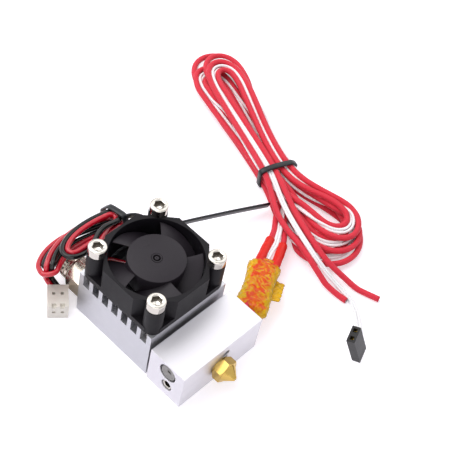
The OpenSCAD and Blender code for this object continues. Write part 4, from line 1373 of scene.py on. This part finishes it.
@dataclass
class FanLead:
    """Red and black pair from the fan, looped back on itself, tied and ended in an ivory plug."""

    wire_r: float = 0.8
    centre: tuple[float, float, float] = (0.0, 24.5, 15.1)
    tilt: float = -20.0
    channel: tuple = (
        (-2.6, 4.8, 18.8), (-3.8, 8.2, 18.8), (-5.8, 11.4, 18.8), (-7.5, 13.8, 18.8),
        (-7.5, 16.4, 18.8), (-6.6, 18.6, 18.5),
    )
    end: tuple = (
        (-19.8, 22.6, 12.8), (-18.8, 24.0, 10.6), (-17.4, 26.4, 8.4), (-16.4, 28.0, 6.2),
        (-16.0, 27.4, 3.9), (-16.0, 25.0, 2.95), (-16.5, 22, 2.9),
    )
    # the pair's middle line through the coil, in the coil's own plane, with its roll in half turns
    coil: tuple = (
        (-3.0, -3.8, 1.3, -0.7), (2.5, -2.6, 1.5, -0.4), (6.0, -2.4, 1.2, -0.2), (8.4, -2.5, 0.9, 0),
        (10.2, -1.4, 1.0, 0), (10.4, 0.5, 1.4, 0), (9.0, 2.0, 1.8, 0), (6.4, 2.2, 2.1, 0),
        (3.6, 1.9, 2.4, 0), (1.6, 2.5, 2.6, 0), (-0.6, 2.9, 2.5, 0), (-2.9, 3.1, 2.4, 0),
        (-5.4, 3.0, 2.3, 0), (-8.3, 2.3, 2.2, 0), (-11.1, 1.1, 2.2, 0), (-13.6, -0.8, 2.0, 0),
        (-14.7, -3.1, 1.7, 0), (-13.6, -5.2, 1.3, 0), (-11.2, -5.3, 0.9, 0.1), (-7.8, -4.1, 0.2, 0.2),
        (-4.0, -3.2, -0.5, 0.4), (0.5, -2.6, -0.6, 0.6), (5.0, -2.5, -0.6, 0.8), (8.4, -2.5, -0.6, 1),
        (10.3, -1.3, -0.6, 1), (10.4, 0.7, -0.8, 1), (8.8, 2.2, -1.0, 1), (6.0, 2.8, -1.3, 1),
        (2.8, 3.8, -1.6, 1), (0.2, 5.6, -1.6, 1), (-2.6, 7.0, -1.6, 1), (-6.0, 7.7, -1.6, 1),
        (-9.9, 7.8, -1.6, 1), (-13.9, 7.0, -1.6, 1), (-17.4, 5.3, -1.6, 1), (-19.9, 3.0, -1.6, 1),
        (-21.4, 0.4, -1.5, 1), (-20.8, -2.0, -1.5, 1), (-18.6, -2.3, -1.5, 1), (-15.6, -0.2, -1.5, 1),
        (-12.2, 2.2, -1.5, 1), (-7.8, 3.2, -1.6, 1), (-3.8, 2.6, -1.7, 1), (0.4, 1.2, -1.9, 1),
        (4.6, 0.0, -2.1, 1), (8.2, -0.4, -2.3, 1), (10.4, 0.8, -2.1, 1), (10.9, 2.8, -1.2, 1),
        (9.6, 4.4, -0.1, 1), (6.6, 4.4, 0.3, 1), (2.6, 4.2, 0.5, 1), (-1.0, 4.8, 0.6, 1),
        (-4.5, 5.1, 0.5, 1), (-8.2, 4.9, 0.4, 1), (-12.0, 4.0, 0.4, 1), (-15.4, 2.2, 0.3, 1),
        (-18.2, -0.2, 0.2, 1), (-19.6, -2.4, -0.2, 1),
    )
    # place of the tie along the coil, least radius of a bend, and distance from bead to bead
    tie_x: float = 8.6
    bend: float = 2.6
    spacing: float = 0.8
    tail: tuple = (
        (8.7, 21.3, 18.9), (11.4, 20.5, 18.0), (14.4, 19.2, 15.4), (17, 17.8, 11.6), (22, 16.0, 8.8),
        (34, 12.2, 6.8), (46, 8.2, 5.0), (58, 4.2, 2.9),
    )

    def axes(self) -> tuple[Array, Array, Array]:
        """Directions of the coil's plane.

        Returns:
            Unit vectors along the wires, across them and out of the plane.
        """
        turn = math.radians(self.tilt)
        across = np.array([0.0, math.cos(turn), math.sin(turn)])
        return np.array([1.0, 0.0, 0.0]), across, np.array([0.0, -math.sin(turn), math.cos(turn)])

    def strands(self) -> list[Strand]:
        """Both wires, from the circuit board to the plug.

        The pair's middle line carries a roll; at each point the wires lie on opposite sides of it,
        turned by the roll about the heading from the coil's plane. On the way down to the plug they
        lie side by side along X instead, as the plug's contacts do.

        Returns:
            The red and the black wire.
        """
        coil = np.array(self.coil)
        placed = np.array(self.centre) + coil[:, :3] @ np.array(self.axes())
        runs = ((self.channel, -1.0, 0.0), (placed, coil[:, 3], 0.0), (self.end, 1.0, 1.0))
        rows = [np.column_stack([p, np.full(len(p), r), np.full(len(p), k)]) for p, r, k in runs]
        line = flowing(np.vstack(rows), self.spacing)
        path, roll, level = line[:, :3], line[:, 3:4] * math.pi, np.clip(line[:, 4:] * 1.6, 0, 1)
        heading = unit(np.gradient(path, axis=0))
        flat = unit(np.cross(self.axes()[2], heading))
        side = np.cos(roll) * flat + np.sin(roll) * np.cross(heading, flat)
        side = (1 - level) * side - level * self.axes()[0]
        side = unit(side - heading * np.sum(side * heading, axis=1, keepdims=True))
        first, last = 13 / len(path), 1 - 14 / len(path)
        marks = [
            (0, 1), (first, 1), (first + 0.04, 0.1), (last - 0.04, 0.1), (last, 0.2), (0.98, 1), (1, 1),
        ]
        made = []
        for name, way in (("fan_wire_red", 1.0), ("fan_wire_black", -1.0)):
            beside_it = path + way * (self.wire_r + 0.02) * side
            # on the inside of a fold the wire skips what would run backwards
            onward = np.sum(np.gradient(beside_it, axis=0) * heading, axis=1) > 0.4
            onward[:2] = onward[-2:] = True
            guide = resample(beside_it[onward], self.spacing)
            made.append(Strand(name, self.wire_r, guide, held(guide, marks), self.bend))
        return made

    def strap(self, strands: list[Strand]) -> list[Piece]:
        """The cable tie: a band round the coil's right end and its long free end, which leans on edge.

        Args:
            strands: the settled wires.

        Returns:
            The band and the strap.
        """
        at = np.array(self.centre) + self.tie_x * self.axes()[0]
        band = cinched("cable_tie_band", strands, at, self.axes(), (2.0, 0.7), -20.0)
        path = flowing(self.tail, 1.5)
        heading = unit(np.gradient(path, axis=0))
        flat = unit(np.cross(heading, [0.0, 0.0, 1.0]))
        lean = math.radians(14)
        tall = math.cos(lean) * np.cross(flat, heading) + math.sin(lean) * flat
        thin = np.cross(heading, tall)
        section = [(-1.2, -0.3), (-1.2, 0.3), (-1, 0.36), (1, 0.36)]
        section += [(-p, -q) for p, q in section]
        rings = np.stack([path + p * tall + q * thin for p, q in section], axis=1)
        tail = skin("cable_tie_strap", rings)
        return [
            add_piece(band, TIE_NYLON, "tie_black", "cable_tie"),
            add_piece(tail, TIE_NYLON, "tie_black", "cable_tie_tail"),
        ]

    def build(self) -> list[Piece]:
        """Makes both wires and their tie.

        Returns:
            The pieces.
        """
        red, black = strands = self.strands()
        Tangle(strands, self.spacing, rounds=600).settle()
        exits = ("fan_lead_exit", "fan_lead_coil")
        return self.strap(strands) + [
            lay_cord(red, 0.5, 16, RED_PVC, "lead_red", exits),
            lay_cord(black, 0.5, 16, BLACK_PVC, "lead_black", ("fan_lead_end",)),
        ]


@dataclass
class Fan:
    """The rotor's moulding: a plain cup, closed at the top, with five swept blades."""

    cup_r: float = 8.62
    top: float = 27.7
    foot: float = 20.4
    blade_top: float = 26.85
    blade_foot: float = 20.7
    blade_r: float = 13.65
    blade_t: float = 0.75
    blades: int = 5
    # direction of the first leading edge at the cup, how far it sweeps forward at the tip, and the
    # arc of a blade
    lead: float = 37.6
    sweep: float = 4.4
    span: float = 63.0
    gate_at: tuple[float, float] = (0.8, 5.6)

    def cup(self) -> Array:
        """Rings of the cup from the blind hole for the shaft round to the ring mark on top.

        Returns:
            (n, 96, 3) points.
        """
        yoke, shaft = (box_mm(name)[1] for name in ("fan_yoke_ring", "fan_shaft"))
        r, z = self.cup_r, self.top
        mark, deep = 1.62, 0.14
        inside = [(0.02, shaft[2]), (shaft[0], shaft[2]), (shaft[0], yoke[2]), (yoke[0], yoke[2])]
        outside = [(yoke[0], self.foot), (r, self.foot), (r, z - 0.12), (r - 0.04, z - 0.04), (r - 0.12, z)]
        ring = [(mark + 0.12, z), (mark, z - deep), (mark - 0.1, z + 0.1), (mark - 0.42, z + 0.1)]
        dimple = [(mark - 0.56, z - deep), (0.62, z - 0.02), (0.3, z - 0.02), (0.22, z - 0.04)]
        return turned(inside + outside + ring + dimple + [(0.02, z - 0.04)], 96)

    def blade(self, turn: float) -> Array:
        """Rings of a blade from its root to its tip.

        Across a ring, share s runs from the leading to the trailing edge: the direction falls by
        span x s and the height by (top - foot) x s^1.25, so that the blade is steepest at its
        trailing edge.

        Args:
            turn: direction of the blade, in degrees.

        Returns:
            (9, 28, 3) points.
        """
        s = np.linspace(0, 1, 14)
        rho = np.linspace(self.cup_r - 0.25, self.blade_r, 9)[:, None]
        out = (rho - self.cup_r) / (self.blade_r - self.cup_r)
        angle = np.radians(turn + self.lead + self.sweep * out - self.span * s[None, :])
        z = self.blade_top - (self.blade_top - self.blade_foot) * s[None, :] ** 1.25 + 0 * rho
        thick = self.blade_t * (0.35 + 0.65 * np.sin(math.pi * s[None, :]) ** 0.5) / 2
        upper = np.stack([rho * np.cos(angle), rho * np.sin(angle), z + thick], axis=-1)
        lower = np.stack([rho * np.cos(angle), rho * np.sin(angle), z - thick], axis=-1)
        return np.concatenate([upper, lower[:, ::-1]], axis=1)

    def build(self) -> list[Piece]:
        """Makes the rotor, with the mark of its gate.

        Returns:
            The rotor alone.
        """
        grids = [self.cup()] + [self.blade(360 / self.blades * k) for k in range(self.blades)]
        mark = [(0.95, -0.05), (0.95, 0.01), (0.85, 0.03), (0.02, 0.03)]
        gate = turned([(r, self.top + z) for r, z in mark], 32) + np.array([*self.gate_at, 0.0])
        rotor = bodies("fan_rotor_moulding", grids + [gate])
        return [add_piece(rotor, ROTOR_PLASTIC, "fan_black", "fan_rotor", body="rotor")]


@dataclass
class Fasteners:
    """Four cap screws through the fan, the grub screw in the cross channel and the heater's end."""

    head_r: float = 2.78
    head_h: float = 3.0
    shank_r: float = 1.45
    round_r: float = 0.5
    key: float = 2.9
    depth: float = 1.7
    sides: int = 48

    def socket(self, mouth_r: float, key: float, z: float, depth: float) -> Array:
        """Rings of a hexagon socket: chamfer from a round mouth, flat walls, drilled point.

        Args:
            mouth_r: radius of the mouth.
            key: width across the flats.
            z: height of the mouth.
            depth: depth of the flats.

        Returns:
            (5, sides, 3) points.
        """
        profile = [(mouth_r, z), (1, z - 0.18), (1, z - depth), (key * 0.4, z - depth)]
        flat = turned(profile + [(0.02, z - depth - 0.3)], self.sides)
        flat[1:3, :, :2] *= hexagon(key, self.sides)[:, None]
        return flat

    def cap_screw(self, length: float, top: float) -> Array:
        """Rings of a cap screw: shank, underside, side, rounded edge, socket.

        Args:
            length: length of the shank.
            top: height of the head's top.

        Returns:
            (n, sides, 3) points.
        """
        seat = top - self.head_h
        rim = [
            (self.head_r - self.round_r * (1 - math.cos(a)), top - self.round_r * (1 - math.sin(a)))
            for a in np.radians(np.linspace(0, 90, 6))
        ]
        foot = seat - length
        outer = [(0.02, foot), (self.shank_r - 0.2, foot), (self.shank_r, foot + 0.2)]
        outer += [(self.shank_r, seat), (self.head_r - 0.1, seat), (self.head_r, seat + 0.1)] + rim
        grid = turned(outer, self.sides)
        return np.concatenate([grid, self.socket(self.key / 2 + 0.35, self.key, top, self.depth)])

    def along_x(self, name: str, grid: Array, box: Array) -> Piece:
        """Turns rings built up Z to point at -X from the far face of a box, and makes them a body.

        Args:
            name: the piece's name.
            grid: the rings.
            box: lowest and highest corner of the node that the piece stands for.

        Returns:
            The piece.
        """
        middle = (box[0] + box[1]) / 2
        x, y, z = box[1][0] - grid[..., 2], middle[1] + grid[..., 1], middle[2] + grid[..., 0]
        return bodies(name, [np.stack([x, y, z], axis=-1)])

    def cap_screws(self) -> list[Piece]:
        """The four screws at the fan's corners.

        Returns:
            The screws.
        """
        low, high = box_mm("fan_screws")
        reach = high[0] - 2.75
        pieces = []
        for k, (x, y) in enumerate(((-reach, -reach), (reach, -reach), (reach, reach), (-reach, reach))):
            screw = self.cap_screw(high[2] - low[2] - self.head_h, high[2]) + np.array([x, y, 0])
            piece = bodies(f"fan_cap_screw_{k + 1}", [screw])
            add_piece(piece, NICKEL, "screw_nickel", *(() if k else ("fan_screws",)))
            # the socket's walls take the darker steel: painted shade of the recess
            dress_rings(piece, SOCKET_STEEL, len(screw) - 4, len(screw) - 3, self.sides)
            pieces.append(piece)
        return pieces

    def grub_screw(self) -> Piece:
        """The grub screw: chamfered end, threads as rings a quarter of a millimetre apart, socket.

        Returns:
            The screw.
        """
        box = box_mm("channel_plug_screw")
        length, r = box[1][0] - box[0][0], (box[1][2] - box[0][2]) / 2
        threads = [(r - 0.25 * (k % 2), 0.25 * k) for k in range(1, int((length - 0.4) / 0.25))]
        outer = [(0.02, 0), (r - 0.5, 0)] + threads + [(r - 0.35, length)]
        rings = [turned(outer, self.sides), self.socket(r * 0.72, r * 1.15, length, 1.8)]
        grid = np.concatenate(rings)
        piece = self.along_x("grub_screw", grid, box)
        add_piece(piece, NICKEL, "screw_nickel", "channel_plug_screw")
        # the socket's walls and floor take the darker steel: painted shade of the recess
        dress_rings(piece, SOCKET_STEEL, len(grid) - 4, len(grid) - 2, self.sides)
        return piece

    def heater_end(self) -> Piece:
        """The heater's tube: its welded end disc is a little smaller, dished, with a centre mark.

        Returns:
            The tube.
        """
        box = box_mm("heater_cartridge")
        length, r = box[1][0] - box[0][0], (box[1][2] - box[0][2]) / 2
        small = r - 0.38
        outer = [(0.02, 0), (r - 0.1, 0), (r, 0.1), (r, length - 1.6), (small, length - 1.5)]
        outer += [(small, length - 0.12), (small - 0.12, length), (2.0, length), (1.9, length - 0.08)]
        outer += [(1.0, length - 0.2), (0.6, length - 0.45), (0.5, length - 1.0), (0.02, length - 1.1)]
        piece = self.along_x("heater_tube", turned(outer, 64), box)
        return add_piece(piece, HEATER_STEEL, "stainless", "heater_cartridge")

    def build(self) -> list[Piece]:
        """Makes the screws and the visible end of the heater, and returns them."""
        return self.cap_screws() + [self.grub_screw(), self.heater_end()]


def dress_frame() -> None:
    """Finishes of the pieces that keep the frame's own shapes."""
    finishes = {
        HEATSINK_ALUMINIUM: ("heatsink",),
        BLOCK_ALUMINIUM: ("heater_block",),
        STAINLESS: (
            "heat_break_left", "heat_break_right", "thermistor", "fan_yoke_ring", "fan_shaft",
            "grip_ring_left", "grip_ring_right",
        ),
        FLUOROPOLYMER: ("tube_liner_left", "tube_liner_right", "fan_shaft_clip"),
        BRASS: ("nozzle",),
        BLACK_OXIDE: ("cartridge_clamp_screw",),
        FAN_PLASTIC: ("fan_frame",),
        MAGNET: ("fan_magnet",),
        BRONZE: ("fan_bearing",),
        LAMINATION: ("fan_stator_core",),
        COPPER: ("fan_stator_coils",),
        BOARD: ("fan_circuit_board",),
        FITTING_NICKEL: ("tube_fitting_left", "tube_fitting_right"),
        SEAL: ("fitting_seal_left", "fitting_seal_right"),
        COLLET: ("release_collet_left", "release_collet_right"),
        CONNECTOR: ("thermistor_connector",),
        GOLD: ("thermistor_contacts",),
        PLUG_NYLON: ("fan_plug",),
        TIN: ("fan_plug_contacts",),
    }
    for finish, names in finishes.items():
        for name in names:
            dress_node(name, finish)


def main() -> None:
    """Builds everything in order: camera and cords first, then the pieces that need finer shapes."""
    Studio().build()
    for assembly in (HeaterWiring(), FanLead(), Tape(), Fan(), Fasteners()):
        pieces = assembly.build()
        LOG.info("%s: %s", type(assembly).__name__, ", ".join(piece.name for piece in pieces))
    dress_frame()


if __name__ == "__main__":
    logging.basicConfig(level=logging.INFO, format="%(name)s: %(message)s")
    main()
